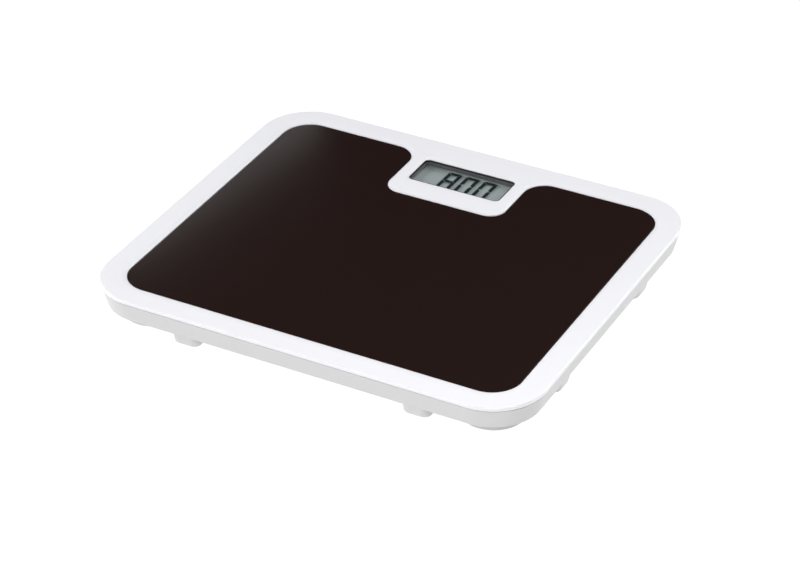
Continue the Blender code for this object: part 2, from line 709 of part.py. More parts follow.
def make_display_lens(material):
    """Clear window that sits on the bezel's ledge."""
    outline = window_outline(-GAP - BEZEL_WALL - GAP)
    top = RIM_TOP_Z - LENS_BELOW_RIM
    bm = bmesh.new()
    add_stack(bm, [(outline, top - LENS_THICKNESS), (outline, top)])
    return make_object("display_lens", bm, material)


def make_lcd_panel(material):
    """Glass panel with the digits."""
    bm = bmesh.new()
    low = (-LCD_WIDTH / 2, WINDOW_Y - LCD_DEPTH / 2, LCD_UNDER_Z)
    high = (LCD_WIDTH / 2, WINDOW_Y + LCD_DEPTH / 2, LCD_FACE_Z)
    add_box(bm, low, high)
    return make_object("lcd_panel", bm, material)


def make_lcd_holder(material):
    """Frame that keeps the panel and its strips over the board."""
    half_x = LCD_WIDTH / 2 + GAP
    half_y = LCD_DEPTH / 2 + GAP
    bm = bmesh.new()
    low_z = BOARD_TOP_Z + GAP
    low = (-half_x - LCD_FRAME_WALL, WINDOW_Y - half_y - LCD_FRAME_WALL, low_z)
    add_box(bm, low, (half_x + LCD_FRAME_WALL, WINDOW_Y + half_y + LCD_FRAME_WALL, LCD_FACE_Z))
    holder = make_object("lcd_holder", bm, material)

    def opening(bm):
        low = (-half_x, WINDOW_Y - half_y, low_z - OVERRUN)
        add_box(bm, low, (half_x, WINDOW_Y + half_y, LCD_FACE_Z + OVERRUN))

    shape(holder, "opening", "DIFFERENCE", opening)
    return holder


def make_connector_strip(name, sign, material):
    """Elastomer strip that joins one long edge of the panel to the board."""
    y = WINDOW_Y + sign * (LCD_DEPTH / 2 - STRIP_INSET)
    bm = bmesh.new()
    low = (-STRIP_LENGTH / 2, y - STRIP_WIDTH / 2, STRIP_TOP_Z - STRIP_HEIGHT)
    add_box(bm, low, (STRIP_LENGTH / 2, y + STRIP_WIDTH / 2, STRIP_TOP_Z))
    return make_object(name, bm, material)


def make_main_board(material):
    """Board under the island, with its four screw holes."""
    bm = bmesh.new()
    low = (-BOARD_WIDTH / 2, BOARD_FRONT_Y, BOARD_UNDER_Z)
    add_box(bm, low, (BOARD_WIDTH / 2, BOARD_BACK_Y, BOARD_TOP_Z))
    board = make_object("main_board", bm, material)

    def holes(bm):
        radius = BOARD_SHANK_RADIUS + SCREW_HOLE_CLEARANCE
        for place in board_screw_places():
            profile = disc_profile(BOARD_UNDER_Z - OVERRUN, BOARD_TOP_Z + OVERRUN, radius)
            add_turned(bm, profile, BOSS_SIDES, place)

    shape(board, "holes", "DIFFERENCE", holes)
    return board


def make_controller_chip(material):
    """Controller under a low epoxy dome, on the board's underside."""
    profile = [(0.0, PARTS_TOP_Z - CHIP_HEIGHT)]
    for i in range(1, EDGE_STEPS + 1):
        a = math.radians(90 * i / EDGE_STEPS)
        profile.append((CHIP_RADIUS * math.sin(a), PARTS_TOP_Z - CHIP_HEIGHT * math.cos(a)))
    profile.append((0.0, PARTS_TOP_Z))
    bm = bmesh.new()
    add_turned(bm, profile, BATTERY_SIDES, (CHIP_X, CHIP_Y))
    return make_object("controller_chip", bm, material)


def make_board_capacitor(material):
    """Round capacitor on the board's underside."""
    profile = disc_profile(PARTS_TOP_Z - CAPACITOR_HEIGHT, PARTS_TOP_Z, CAPACITOR_RADIUS)
    bm = bmesh.new()
    add_turned(bm, profile, BATTERY_SIDES, (CAPACITOR_X, CAPACITOR_Y))
    return make_object("board_capacitor", bm, material)


def make_timing_crystal(material):
    """Crystal can on the board's underside."""
    outline = rounded_outline(CRYSTAL_LENGTH / 2, CRYSTAL_WIDTH / 2, CRYSTAL_CORNER, EDGE_STEPS, CRYSTAL_Y)
    outline = [(x + CRYSTAL_X, y) for x, y in outline]
    bm = bmesh.new()
    add_stack(bm, [(outline, PARTS_TOP_Z - CRYSTAL_HEIGHT), (outline, PARTS_TOP_Z)])
    return make_object("timing_crystal", bm, material)


def make_unit_switch(material):
    """Switch body on the board's underside, bored for its plunger."""
    half = SWITCH_SIDE / 2
    bm = bmesh.new()
    low = (BUTTON_X - half, BUTTON_Y - half, SWITCH_UNDER_Z)
    add_box(bm, low, (BUTTON_X + half, BUTTON_Y + half, PARTS_TOP_Z))
    switch = make_object("unit_switch", bm, material)

    def bore(bm):
        top = SWITCH_UNDER_Z + PLUNGER_DEPTH + BUTTON_TRAVEL + GAP
        profile = disc_profile(SWITCH_UNDER_Z - OVERRUN, top, PLUNGER_RADIUS + GAP)
        add_turned(bm, profile, BOSS_SIDES, (BUTTON_X, BUTTON_Y))

    shape(switch, "bore", "DIFFERENCE", bore)
    return switch


def make_button_axis():
    """Empty on the button's line of travel."""
    axis = bpy.data.objects.new("unit_button_axis", None)
    axis.location = (BUTTON_X, BUTTON_Y, BASE_UNDER_Z)
    bpy.context.scene.collection.objects.link(axis)
    return axis


def make_switch_plunger(material, axis):
    """Plunger that the button pushes into the switch."""
    low = PLUNGER_UNDER_Z - BASE_UNDER_Z
    high = SWITCH_UNDER_Z + PLUNGER_DEPTH - BASE_UNDER_Z
    bm = bmesh.new()
    add_turned(bm, disc_profile(low, high, PLUNGER_RADIUS), BOSS_SIDES)
    plunger = make_object("switch_plunger", bm, material)
    plunger.parent = axis
    return plunger


def make_unit_button(material, axis):
    """Button in the underside: cap, retaining flange and stem."""
    flange_z = BASE_SKIN + GAP
    flange_top = flange_z + BUTTON_FLANGE_THICKNESS
    profile = [
        (0.0, BUTTON_RECESS),
        (BUTTON_RADIUS, BUTTON_RECESS),
        (BUTTON_RADIUS, flange_z),
        (BUTTON_RADIUS + BUTTON_FLANGE, flange_z),
        (BUTTON_RADIUS + BUTTON_FLANGE, flange_top),
        (BUTTON_STEM_RADIUS, flange_top),
        (BUTTON_STEM_RADIUS, PLUNGER_UNDER_Z - GAP - BASE_UNDER_Z),
        (0.0, PLUNGER_UNDER_Z - GAP - BASE_UNDER_Z),
    ]
    bm = bmesh.new()
    add_turned(bm, profile, BUTTON_SIDES)
    button = make_object("unit_button", bm, material)
    button.parent = axis
    return button


def make_base_shell(material):
    """White tray: tapered wall, stop posts, foot collars, bosses, battery bay and button guide."""
    levels = []
    for i in range(EDGE_STEPS + 1):
        a = math.radians(90 * i / EDGE_STEPS)
        z = BASE_UNDER_Z + BASE_EDGE_ROUND * (1 - math.cos(a))
        levels.append((case_outline(wall_inset(z) + BASE_EDGE_ROUND * (1 - math.sin(a))), z))
    levels.append((case_outline(BASE_TOP_INSET), BASE_TOP_Z))
    bm = bmesh.new()
    add_stack(bm, levels)
    base = make_object("base_shell", bm, material)
    root_z = BASE_FLOOR_Z - EMBED

    def cavity(bm):
        top = BASE_TOP_Z + OVERRUN
        low = case_outline(wall_inset(BASE_FLOOR_Z) + BASE_WALL)
        add_stack(bm, [(low, BASE_FLOOR_Z), (case_outline(wall_inset(top) + BASE_WALL), top)])

    def additions(bm):
        levels = []
        for i in range(EDGE_STEPS + 1):
            a = math.radians(90 * i / EDGE_STEPS)
            z = POST_FOOT_Z + POST_EDGE_ROUND * (1 - math.cos(a))
            levels.append((z, -POST_EDGE_ROUND * (1 - math.sin(a))))
        add_posts(bm, [*levels, (root_z, 0.0)])
        inner = DISC_RADIUS + DISC_FLANGE + COLLAR_CLEARANCE
        outer = inner + COLLAR_WALL
        collar_top = BASE_FLOOR_Z + COLLAR_HEIGHT
        for _, sign_x, sign_y in CORNERS:
            ring = [(inner, root_z), (outer, root_z), (outer, collar_top), (inner, collar_top)]
            add_turned(bm, ring, COLLAR_SIDES, (sign_x * FOOT_X, sign_y * FOOT_Y), closed=True)
        for place in case_screw_places():
            add_turned(bm, disc_profile(root_z, CASE_BOSS_TOP_Z, CASE_BOSS_RADIUS), BOSS_SIDES, place)
        low = (-BAY_HALF_WIDTH - BAY_WALL, BAY_FRONT_Y - BAY_WALL, root_z)
        add_box(bm, low, (BAY_HALF_WIDTH + BAY_WALL, BAY_BACK_Y + BAY_WALL, BAY_TOP_Z))
        for distance in RIBS_FROM_BAY:
            y = BAY_FRONT_Y - BAY_WALL - distance
            low = (-RIB_HALF_LENGTH, y - RIB_THICKNESS / 2, root_z)
            add_box(bm, low, (RIB_HALF_LENGTH, y + RIB_THICKNESS / 2, BASE_FLOOR_Z + RIB_HEIGHT))
        inner = BUTTON_RADIUS + BUTTON_FLANGE + BUTTON_CLEARANCE
        outer = inner + BUTTON_GUIDE_WALL
        guide_top = BASE_FLOOR_Z + BUTTON_GUIDE_HEIGHT
        ring = [(inner, root_z), (outer, root_z), (outer, guide_top), (inner, guide_top)]
        add_turned(bm, ring, BUTTON_SIDES, (BUTTON_X, BUTTON_Y), closed=True)

    def cuts(bm):
        under = BASE_UNDER_Z - OVERRUN
        over = BASE_FLOOR_Z + OVERRUN
        for _, sign_x, sign_y in CORNERS:
            profile = disc_profile(under, over, DISC_RADIUS + DISC_CLEARANCE)
            add_turned(bm, profile, DISC_SIDES, (sign_x * FOOT_X, sign_y * FOOT_Y))
        add_posts(bm, [(POST_FOOT_Z + POST_SKIN, -POST_SKIN), (over, -POST_SKIN)])
        head = CASE_HEAD_RADIUS + SCREW_HOLE_CLEARANCE
        shank = SCREW_SHANK_RADIUS + SCREW_HOLE_CLEARANCE
        seat = CASE_HEAD_SEAT_Z + GAP
        top = CASE_BOSS_TOP_Z + OVERRUN
        for place in case_screw_places():
            profile = [(0.0, under), (head, under), (head, seat), (shank, seat), (shank, top), (0.0, top)]
            add_turned(bm, profile, BOSS_SIDES, place)
        profile = disc_profile(under, over, BUTTON_RADIUS + BUTTON_CLEARANCE)
        add_turned(bm, profile, BUTTON_SIDES, (BUTTON_X, BUTTON_Y))

    def bay(bm):
        section = [
            (OPENING_FRONT_Y, BASE_UNDER_Z - OVERRUN),
            (BAY_BACK_Y, BASE_UNDER_Z - OVERRUN),
            (BAY_BACK_Y, BAY_CEILING_Z),
            (BAY_FRONT_Y, BAY_CEILING_Z),
            (BAY_FRONT_Y, BASE_FLOOR_Z),
            (OPENING_FRONT_Y, BASE_FLOOR_Z),
        ]
        add_prism_x(bm, section, -BAY_HALF_WIDTH, BAY_HALF_WIDTH)

    def wire_holes(bm):
        outer = BAY_HALF_WIDTH + BAY_WALL + OVERRUN
        profile = disc_profile(BAY_HALF_WIDTH - OVERRUN, outer, WIRE_HOLE_RADIUS)
        for battery in (0, BATTERY_COUNT - 1):
            start = len(bm.verts)
            add_turned(bm, profile, BOSS_SIDES)
            lay_along_x(bm, start, 1, battery_y(battery), wire_z())

    def finger_notch(bm):
        low = (-FINGER_WIDTH / 2, BAY_BACK_Y - OVERRUN, BASE_UNDER_Z - OVERRUN)
        add_box(bm, low, (FINGER_WIDTH / 2, BAY_BACK_Y + FINGER_LENGTH, BASE_UNDER_Z + FINGER_DEPTH))

    shape(base, "cavity", "DIFFERENCE", cavity)
    shape(base, "additions", "UNION", additions)
    shape(base, "cuts", "DIFFERENCE", cuts)
    shape(base, "bay", "DIFFERENCE", bay)
    shape(base, "wire_holes", "DIFFERENCE", wire_holes)
    shape(base, "finger_notch", "DIFFERENCE", finger_notch)
    return base


def battery_y(index):
    """The middle of one battery, across the row."""
    return BATTERY_ROW_Y + (index - (BATTERY_COUNT - 1) / 2) * BATTERY_PITCH


def wire_z():
    """Height of the wires in the bay's side wall."""
    return BATTERY_Z + WIRE_RISE


def make_battery_door(material):
    """Door with two hooks at its hinge edge and a low latch wall at its free edge."""
    width = BAY_HALF_WIDTH - GAP
    hook_under = BASE_SKIN + GAP
    hook_top = hook_under + DOOR_HOOK_THICKNESS
    length = DOOR_BACK_Y - DOOR_FRONT_Y
    bm = bmesh.new()
    add_box(bm, (-width, 0.0, 0.0), (width, length, DOOR_THICKNESS))
    door = make_object("battery_door", bm, material, (0.0, DOOR_FRONT_Y, BASE_UNDER_Z))

    def hooks(bm):
        section = [
            (0.0, DOOR_THICKNESS - EMBED),
            (DOOR_HOOK_THICKNESS, DOOR_THICKNESS - EMBED),
            (DOOR_HOOK_THICKNESS, hook_top),
            (-DOOR_HOOK_REACH, hook_top),
            (-DOOR_HOOK_REACH, hook_under),
            (0.0, hook_under),
        ]
        for sign in (-1, 1):
            middle = sign * DOOR_HOOK_X
            add_prism_x(bm, section, middle - DOOR_HOOK_WIDTH / 2, middle + DOOR_HOOK_WIDTH / 2)
        back = length - DOOR_LATCH_INSET
        low = (-DOOR_LATCH_WIDTH / 2, back - DOOR_LATCH_THICKNESS, DOOR_THICKNESS - EMBED)
        add_box(bm, low, (DOOR_LATCH_WIDTH / 2, back, DOOR_THICKNESS + DOOR_LATCH_HEIGHT))

    shape(door, "hooks", "UNION", hooks)
    return door


def make_stiffener_plate(material):
    """Steel plate under the tread, notched for the display and the battery bay."""
    half_x = CASE_WIDTH / 2 - PLATE_MARGIN
    half_y = CASE_DEPTH / 2 - PLATE_MARGIN
    outline = notched_outline(
        half_x,
        half_y,
        PLATE_CORNER_RADIUS,
        PLATE_NOTCH_HALF_WIDTH,
        PLATE_NOTCH_FRONT_Y,
        PLATE_NOTCH_RADIUS,
        PLATE_NOTCH_RADIUS,
    )
    bm = bmesh.new()
    add_stack(bm, [(outline, PLATE_UNDER_Z), (outline, PLATE_TOP_Z)])
    plate = make_object("stiffener_plate", bm, material)

    def holes(bm):
        low = PLATE_UNDER_Z - OVERRUN
        high = PLATE_TOP_Z + OVERRUN
        for place in plate_screw_places():
            add_turned(bm, disc_profile(low, high, PLATE_BOSS_RADIUS + GAP), BOSS_SIDES, place)
        for place in holder_screw_places():
            radius = SCREW_SHANK_RADIUS + SCREW_HOLE_CLEARANCE
            add_turned(bm, disc_profile(low, high, radius), BOSS_SIDES, place)

    shape(plate, "holes", "DIFFERENCE", holes)
    return plate


def place_at_corner(obj, corner, z=0.0):
    """Set an object modelled for the back right foot at another corner."""
    _, sign_x, sign_y = corner
    obj.location = (sign_x * FOOT_X, sign_y * FOOT_Y, z)
    obj.rotation_euler = (0.0, 0.0, corner_turn(corner))


def make_load_cell(material, corner):
    """Spring-steel plate with a slot that leaves a tongue in the middle."""
    half = CELL_SIDE / 2
    outline = rounded_outline(half, half, CELL_CORNER, EDGE_STEPS)
    bm = bmesh.new()
    add_stack(bm, [(outline, CELL_UNDER_Z), (outline, CELL_TOP_Z)])
    cell = make_object(f"load_cell_{corner[0]}", bm, material)

    def slot(bm):
        inner = CELL_TONGUE_WIDTH / 2
        outer = inner + CELL_SLOT
        reach = CELL_SLOT_REACH
        tip = reach - CELL_SLOT
        outline = [(-outer, -reach), (outer, -reach), (outer, reach), (inner, reach)]
        outline += [(inner, -tip), (-inner, -tip), (-inner, reach), (-outer, reach)]
        add_stack(bm, [(outline, CELL_UNDER_Z - OVERRUN), (outline, CELL_TOP_Z + OVERRUN)])

    tool = shape(cell, "slot", "DIFFERENCE", slot)
    place_at_corner(cell, corner)
    place_at_corner(tool, corner)
    return cell


def make_strain_gauge(material, corner):
    """Coated gauge patch bonded to a load cell's tongue."""
    half = GAUGE_SIDE / 2
    low_z = CELL_TOP_Z + GAP
    bm = bmesh.new()
    low = (-GAUGE_SHIFT - half, -GAUGE_SHIFT - half, low_z)
    add_box(bm, low, (half - GAUGE_SHIFT, half - GAUGE_SHIFT, low_z + GAUGE_THICKNESS))
    gauge = make_object(f"strain_gauge_{corner[0]}", bm, material)
    place_at_corner(gauge, corner)
    return gauge


def make_cell_holder(material, corner):
    """Moulded holder: a rim round the cell, relief over the tongue, two ears and two lead channels."""
    half = HOLDER_HALF
    rim_z = HOLDER_SEAT_Z - HOLDER_RIM_DEPTH
    outline = rounded_outline(half, half, CELL_CORNER, EDGE_STEPS)
    bm = bmesh.new()
    add_stack(bm, [(outline, rim_z), (outline, HOLDER_TOP_Z)])
    holder = make_object(f"cell_holder_{corner[0]}", bm, material)
    ear_places = ((-EAR_CENTRE, 0.0), (0.0, -EAR_CENTRE))

    def ears(bm):
        low_z = HOLDER_TOP_Z - EAR_THICKNESS
        for x, y in ear_places:
            along = [(0.0, EAR_RADIUS), *arc(0.0, 0.0, EAR_RADIUS, 90, 270, SMALL_CORNER_STEPS * 2)[1:-1]]
            along += [(0.0, -EAR_RADIUS), (EAR_REACH + EMBED, -EAR_RADIUS), (EAR_REACH + EMBED, EAR_RADIUS)]
            points = [(x + a, b) if y == 0.0 else (b, y + a) for a, b in along]
            if y != 0.0:
                points.reverse()
            add_stack(bm, [(points, low_z), (points, HOLDER_TOP_Z)])

    def seat(bm):
        room = CELL_SIDE / 2 + GAP
        outline = rounded_outline(room, room, CELL_CORNER, EDGE_STEPS)
        add_stack(bm, [(outline, rim_z - OVERRUN), (outline, HOLDER_SEAT_Z)])

    def relief(bm):
        half = HOLDER_RELIEF_SIDE / 2
        width = LEAD_CHANNEL_WIDTH / 2
        reach = HOLDER_HALF + OVERRUN
        outline = [
            (-half, -half),
            (-LEAD_SHIFT - width, -half),
            (-LEAD_SHIFT - width, -reach),
            (-LEAD_SHIFT + width, -reach),
            (-LEAD_SHIFT + width, -half),
            (half, -half),
            (half, half),
            (-half, half),
            (-half, -LEAD_SHIFT + width),
            (-reach, -LEAD_SHIFT + width),
            (-reach, -LEAD_SHIFT - width),
            (-half, -LEAD_SHIFT - width),
        ]
        add_stack(bm, [(outline, HOLDER_SEAT_Z - EMBED), (outline, HOLDER_SEAT_Z + HOLDER_RELIEF_DEPTH)])

    def ear_holes(bm):
        radius = SCREW_SHANK_RADIUS + SCREW_HOLE_CLEARANCE
        for place in ear_places:
            profile = disc_profile(HOLDER_TOP_Z - EAR_THICKNESS - OVERRUN, HOLDER_TOP_Z + OVERRUN, radius)
            add_turned(bm, profile, BOSS_SIDES, place)

    tools = [
        shape(holder, "ears", "UNION", ears),
        shape(holder, "seat", "DIFFERENCE", seat),
        shape(holder, "relief", "DIFFERENCE", relief),
        shape(holder, "ear_holes", "DIFFERENCE", ear_holes),
    ]
    for obj in (holder, *tools):
        place_at_corner(obj, corner)
    return holder


def make_foot_axis(corner):
    """Empty on the foot's line of travel, on the floor."""
    name, sign_x, sign_y = corner
    axis = bpy.data.objects.new(f"foot_axis_{name}", None)
    axis.location = (sign_x * FOOT_X, sign_y * FOOT_Y, 0.0)
    bpy.context.scene.collection.objects.link(axis)
    return axis


def make_foot_disc(material, corner, axis):
    """Moulded foot: a cup with a retaining flange and a middle post that bears on the load cell."""
    seat = PAD_THICKNESS + GAP
    pocket = PAD_RADIUS + GAP
    floor = seat + DISC_FLOOR
    flange_under = BASE_FLOOR_Z + GAP
    flange_top = flange_under + DISC_FLANGE_THICKNESS
    inner = DISC_RADIUS - DISC_WALL
    post_top = CELL_UNDER_Z - GAP
    profile = [(0.0, seat), (pocket, seat), (pocket, DISC_BOTTOM_Z)]
    for i in range(EDGE_STEPS):
        a = math.radians(90 * i / (EDGE_STEPS - 1))
        radius = DISC_RADIUS - DISC_EDGE_ROUND * (1 - math.sin(a))
        profile.append((radius, DISC_BOTTOM_Z + DISC_EDGE_ROUND * (1 - math.cos(a))))
    profile += [
        (DISC_RADIUS, flange_under),
        (DISC_RADIUS + DISC_FLANGE, flange_under),
        (DISC_RADIUS + DISC_FLANGE, flange_top),
        (inner, flange_top),
        (inner, floor),
        (DISC_POST_RADIUS, floor),
        (DISC_POST_RADIUS, post_top),
        (0.0, post_top),
    ]
    bm = bmesh.new()
    add_turned(bm, profile, DISC_SIDES)
    disc = make_object(f"foot_disc_{corner[0]}", bm, material)
    disc.parent = axis
    return disc


def make_foot_pad(material, corner, axis):
    """Rubber sole with one round groove."""
    inner = PAD_GROOVE_RADIUS - PAD_GROOVE_WIDTH / 2
    outer = PAD_GROOVE_RADIUS + PAD_GROOVE_WIDTH / 2
    profile = [
        (0.0, 0.0),
        (inner, 0.0),
        (inner, PAD_GROOVE_DEPTH),
        (outer, PAD_GROOVE_DEPTH),
        (outer, 0.0),
        (PAD_RADIUS - PAD_EDGE_ROUND, 0.0),
        (PAD_RADIUS, PAD_EDGE_ROUND),
        (PAD_RADIUS, PAD_THICKNESS),
        (0.0, PAD_THICKNESS),
    ]
    bm = bmesh.new()
    add_turned(bm, profile, DISC_SIDES)
    pad = make_object(f"foot_pad_{corner[0]}", bm, material)
    pad.parent = axis
    return pad


def battery_sign(index):
    """Which end of the bay the battery's nub faces: they alternate."""
    return 1 if index % 2 == 0 else -1


def lay_along_x(bm, start, sign, y, z):
    """Turn the vertices from start on so that their vertical axis runs along X, towards sign."""
    bm.verts.ensure_lookup_table()
    for vert in bm.verts[start:]:
        x0, y0, z0 = vert.co
        vert.co = Vector((sign * z0, y + sign * y0, z - x0))


def make_battery(material, index):
    """One AAA cell, lying across the case."""
    tip = BATTERY_TIP_X
    shoulder = tip - BATTERY_NUB_LENGTH
    back = tip - BATTERY_LENGTH
    radius = BATTERY_RADIUS
    profile = [
        (0.0, back),
        (radius - BATTERY_EDGE, back),
        (radius, back + BATTERY_EDGE),
        (radius, shoulder - BATTERY_EDGE),
        (radius - BATTERY_EDGE, shoulder),
        (BATTERY_NUB_RADIUS, shoulder),
        (BATTERY_NUB_RADIUS, tip),
        (0.0, tip),
    ]
    bm = bmesh.new()
    add_turned(bm, profile, BATTERY_SIDES)
    lay_along_x(bm, 0, battery_sign(index), 0.0, 0.0)
    return make_object(f"battery_{index + 1}", bm, material, (0.0, battery_y(index), BATTERY_Z))


def add_coil(bm, points, radius, sides):
    """Add a round wire along a list of points, with flat ends."""
    points = [Vector(point) for point in points]
    rings = []
    for i, point in enumerate(points):
        along = (points[min(i + 1, len(points) - 1)] - points[max(i - 1, 0)]).normalized()
        outward = Vector((point.x, point.y, 0.0)).normalized()
        across = along.cross(outward).normalized()
        outward = across.cross(along)
        ring = []
        for k in range(sides):
            a = 2 * math.pi * k / sides
            ring.append(bm.verts.new(point + radius * (outward * math.cos(a) + across * math.sin(a))))
        rings.append(ring)
    bm.faces.new(rings[0])
    bm.faces.new(list(reversed(rings[-1])))
    for low, high in zip(rings, rings[1:]):
        for i in range(sides):
            j = (i + 1) % sides
            bm.faces.new((low[j], low[i], high[i], high[j]))


def spring_points():
    """Middle line of a conical contact spring about a vertical axis, from its plate to its tip."""
    start = CONTACT_FACE_X
    end = BATTERY_LENGTH - BATTERY_TIP_X + GAP + SPRING_WIRE / 2
    count = round(SPRING_TURNS * SPRING_POINTS_PER_TURN)
    points = []
    for i in range(count + 1):
        t = i / count
        angle = 2 * math.pi * SPRING_TURNS * t
        radius = SPRING_BASE_RADIUS + t * (SPRING_TIP_RADIUS - SPRING_BASE_RADIUS)
        points.append((radius * math.cos(angle), radius * math.sin(angle), start + t * (end - start)))
    return points


def make_contact(name, facing, batteries, material):
    """Plate across the ends of one or two batteries, dimpled for a nub and sprung for a flat end."""
    half = CONTACT_SIDE / 2
    low = CONTACT_FACE_X
    middle_y = sum(battery_y(i) for i in batteries) / len(batteries)
    reach = half + BATTERY_PITCH * (len(batteries) - 1) / 2
    outline = [(-half, -reach), (half, -reach), (half, reach), (-half, reach)]
    bm = bmesh.new()
    add_stack(bm, [(outline, low), (outline, low + CONTACT_THICKNESS)])
    lay_along_x(bm, 0, facing, 0.0, 0.0)
    contact = make_object(name, bm, material, (0.0, middle_y, BATTERY_Z))

    def features(bm):
        for index in batteries:
            start = len(bm.verts)
            if facing == battery_sign(index):
                levels = (low - CONTACT_DIMPLE_HEIGHT, low + CONTACT_THICKNESS / 2)
                add_turned(bm, disc_profile(*levels, CONTACT_DIMPLE_RADIUS), BOSS_SIDES)
            else:
                add_coil(bm, spring_points(), SPRING_WIRE / 2, SPRING_SIDES)
            lay_along_x(bm, start, facing, battery_y(index) - middle_y, 0.0)

    shape(contact, "features", "UNION", features)
    return contact


def make_tube(name, points, radius, material):
    """A wire with filled ends along a list of points."""
    curve = bpy.data.curves.new(name, "CURVE")
    curve.dimensions = "3D"
    curve.bevel_depth = radius
    curve.bevel_resolution = TUBE_RESOLUTION
    curve.use_fill_caps = True
    curve.materials.append(material)
    spline = curve.splines.new("POLY")
    spline.points.add(len(points) - 1)
    for point, place in zip(spline.points, points):
        point.co = (*place, 1.0)
    tube = bpy.data.objects.new(name, curve)
    bpy.context.scene.collection.objects.link(tube)
    return tube


def smooth_route(places, spacing):
    """Points at an even spacing on a smooth curve through the route's own places."""
    points = [Vector(place) for place in places]
    points = [2 * points[0] - points[1], *points, 2 * points[-1] - points[-2]]
    fine = []
    for before, start, end, after in zip(points, points[1:], points[2:], points[3:]):
        for i in range(ROUTE_STEPS):
            t = i / ROUTE_STEPS
            a = 2 * start
            b = (end - before) * t
            c = (2 * before - 5 * start + 4 * end - after) * t * t
            d = (3 * start - before - 3 * end + after) * t * t * t
            fine.append((a + b + c + d) / 2)
    fine.append(points[-2])
    lengths = np.cumsum([0.0, *[(b - a).length for a, b in zip(fine, fine[1:])]])
    count = max(2, round(lengths[-1] / spacing))
    wanted = np.linspace(0.0, lengths[-1], count + 1)
    columns = [np.interp(wanted, lengths, [point[axis] for point in fine]) for axis in range(3)]
    return [tuple(float(value) for value in place) for place in zip(*columns)]


def make_cell_lead(material, corner):
    """Lead from one load cell to the edge of the main board, clipped inside the case."""
    name, sign_x, sign_y = corner
    start = GAUGE_SHIFT + GAUGE_SIDE / 2 + GAP
    leave = HOLDER_HALF
    edge = BOARD_WIDTH / 2
    if sign_y < 0:
        near = (FOOT_X - LEAD_SHIFT, -FOOT_Y + start)
        out = (FOOT_X - LEAD_SHIFT, -FOOT_Y + leave)
        end_y = BOARD_FRONT_Y + FRONT_LEAD_END_INSET
        bends = [(FOOT_X + x, y - FOOT_Y) for x, y in FRONT_LEAD_BENDS_BY_FOOT]
        bends += [(edge + x, BOARD_FRONT_Y + y) for x, y in FRONT_LEAD_BENDS_BY_BOARD]
    else:
        near = (FOOT_X - start, FOOT_Y - LEAD_SHIFT)
        out = (FOOT_X - leave, FOOT_Y - LEAD_SHIFT)
        end_y = BOARD_FRONT_Y + BACK_LEAD_END_INSET
        run = (edge - LEAD_LAND_INSET - out[0], end_y - out[1])
        bends = [(out[0] + share * run[0], out[1] + share * run[1]) for share in BACK_LEAD_BEND_SHARES]
    places = [(*near, LEAD_START_Z), (*out, LEAD_START_Z)]
    places += [(x, y, LEAD_RUN_Z) for x, y in bends]
    places += [(edge - LEAD_LAND_INSET, end_y, LEAD_END_Z), (edge - LEAD_END_INSET, end_y, LEAD_END_Z)]
    places = [(sign_x * x, y, z) for x, y, z in places]
    return make_tube(f"cell_lead_{name}", smooth_route(places, LEAD_SPACING), LEAD_RADIUS, material)


def make_battery_wire(name, battery, bends, material):
    """Wire from an end contact, out through the bay's wall, to the board's front edge."""
    start_x = BAY_HALF_WIDTH
    start_y = battery_y(battery)
    end_x = bends[-1][0]
    end_z = BOARD_UNDER_Z - GAP - WIRE_RADIUS
    places = [(start_x, start_y, wire_z()), (start_x + BAY_WALL + GAP, start_y, wire_z())]
    places += [(x, BATTERY_ROW_Y + y, wire_z()) for x, y in bends]
    places += [(end_x, BOARD_FRONT_Y + inset, end_z) for inset in (WIRE_LAND_INSET, WIRE_END_INSET)]
    return make_tube(name, smooth_route(places, WIRE_SPACING), WIRE_RADIUS, material)


def make_case_screws(material):
    """Screws driven up through the base into the cover: head below, shank above."""
    head = CASE_HEAD_RADIUS
    profile = [
        (0.0, -CASE_HEAD_HEIGHT),
        (head, -CASE_HEAD_HEIGHT),
        (head, 0.0),
        (SCREW_SHANK_RADIUS, 0.0),
        (SCREW_SHANK_RADIUS, CASE_SCREW_LENGTH),
        (0.0, CASE_SCREW_LENGTH),
    ]
    for index, (x, y) in enumerate(case_screw_places()):
        bm = bmesh.new()
        add_turned(bm, profile, BOSS_SIDES)
        make_object(f"case_screw_{index + 1}", bm, material, (x, y, CASE_HEAD_SEAT_Z))


def make_cover_group():
    """Cover, mat and everything behind the window."""
    white = make_material("white_cover", (0.88, 0.88, 0.9), 0.35)
    make_top_cover(white)
    make_tread_mat(make_material("dark_mat", (0.018, 0.010, 0.008), 0.55))
    make_display_bezel(make_material("bezel_black", (0.03, 0.03, 0.035), 0.4))
    make_display_lens(make_material("clear_lens", (0.9, 0.95, 0.95), 0.05, alpha=0.25))
    make_lcd_panel(make_material("lcd_grey_green", (0.28, 0.34, 0.31), 0.3))
    make_lcd_holder(make_material("holder_white", (0.7, 0.7, 0.7), 0.5))
    pink = make_material("strip_pink", (0.6, 0.3, 0.3), 0.6)
    make_connector_strip("lcd_connector_front", -1, pink)
    make_connector_strip("lcd_connector_back", 1, pink)


def make_board_group():
    """Board, its parts and the unit button."""
    make_main_board(make_material("board_green", (0.02, 0.16, 0.06), 0.4))
    make_controller_chip(make_material("epoxy_black", (0.01, 0.01, 0.01), 0.3))
    make_board_capacitor(make_material("can_aluminium", (0.6, 0.6, 0.62), 0.3, 1.0))
    make_timing_crystal(make_material("crystal_steel", (0.65, 0.65, 0.66), 0.25, 1.0))
    make_unit_switch(make_material("switch_black", (0.02, 0.02, 0.02), 0.5))
    axis = make_button_axis()
    make_switch_plunger(make_material("plunger_grey", (0.3, 0.3, 0.3), 0.5), axis)
    make_unit_button(make_material("button_grey", (0.35, 0.36, 0.38), 0.5), axis)


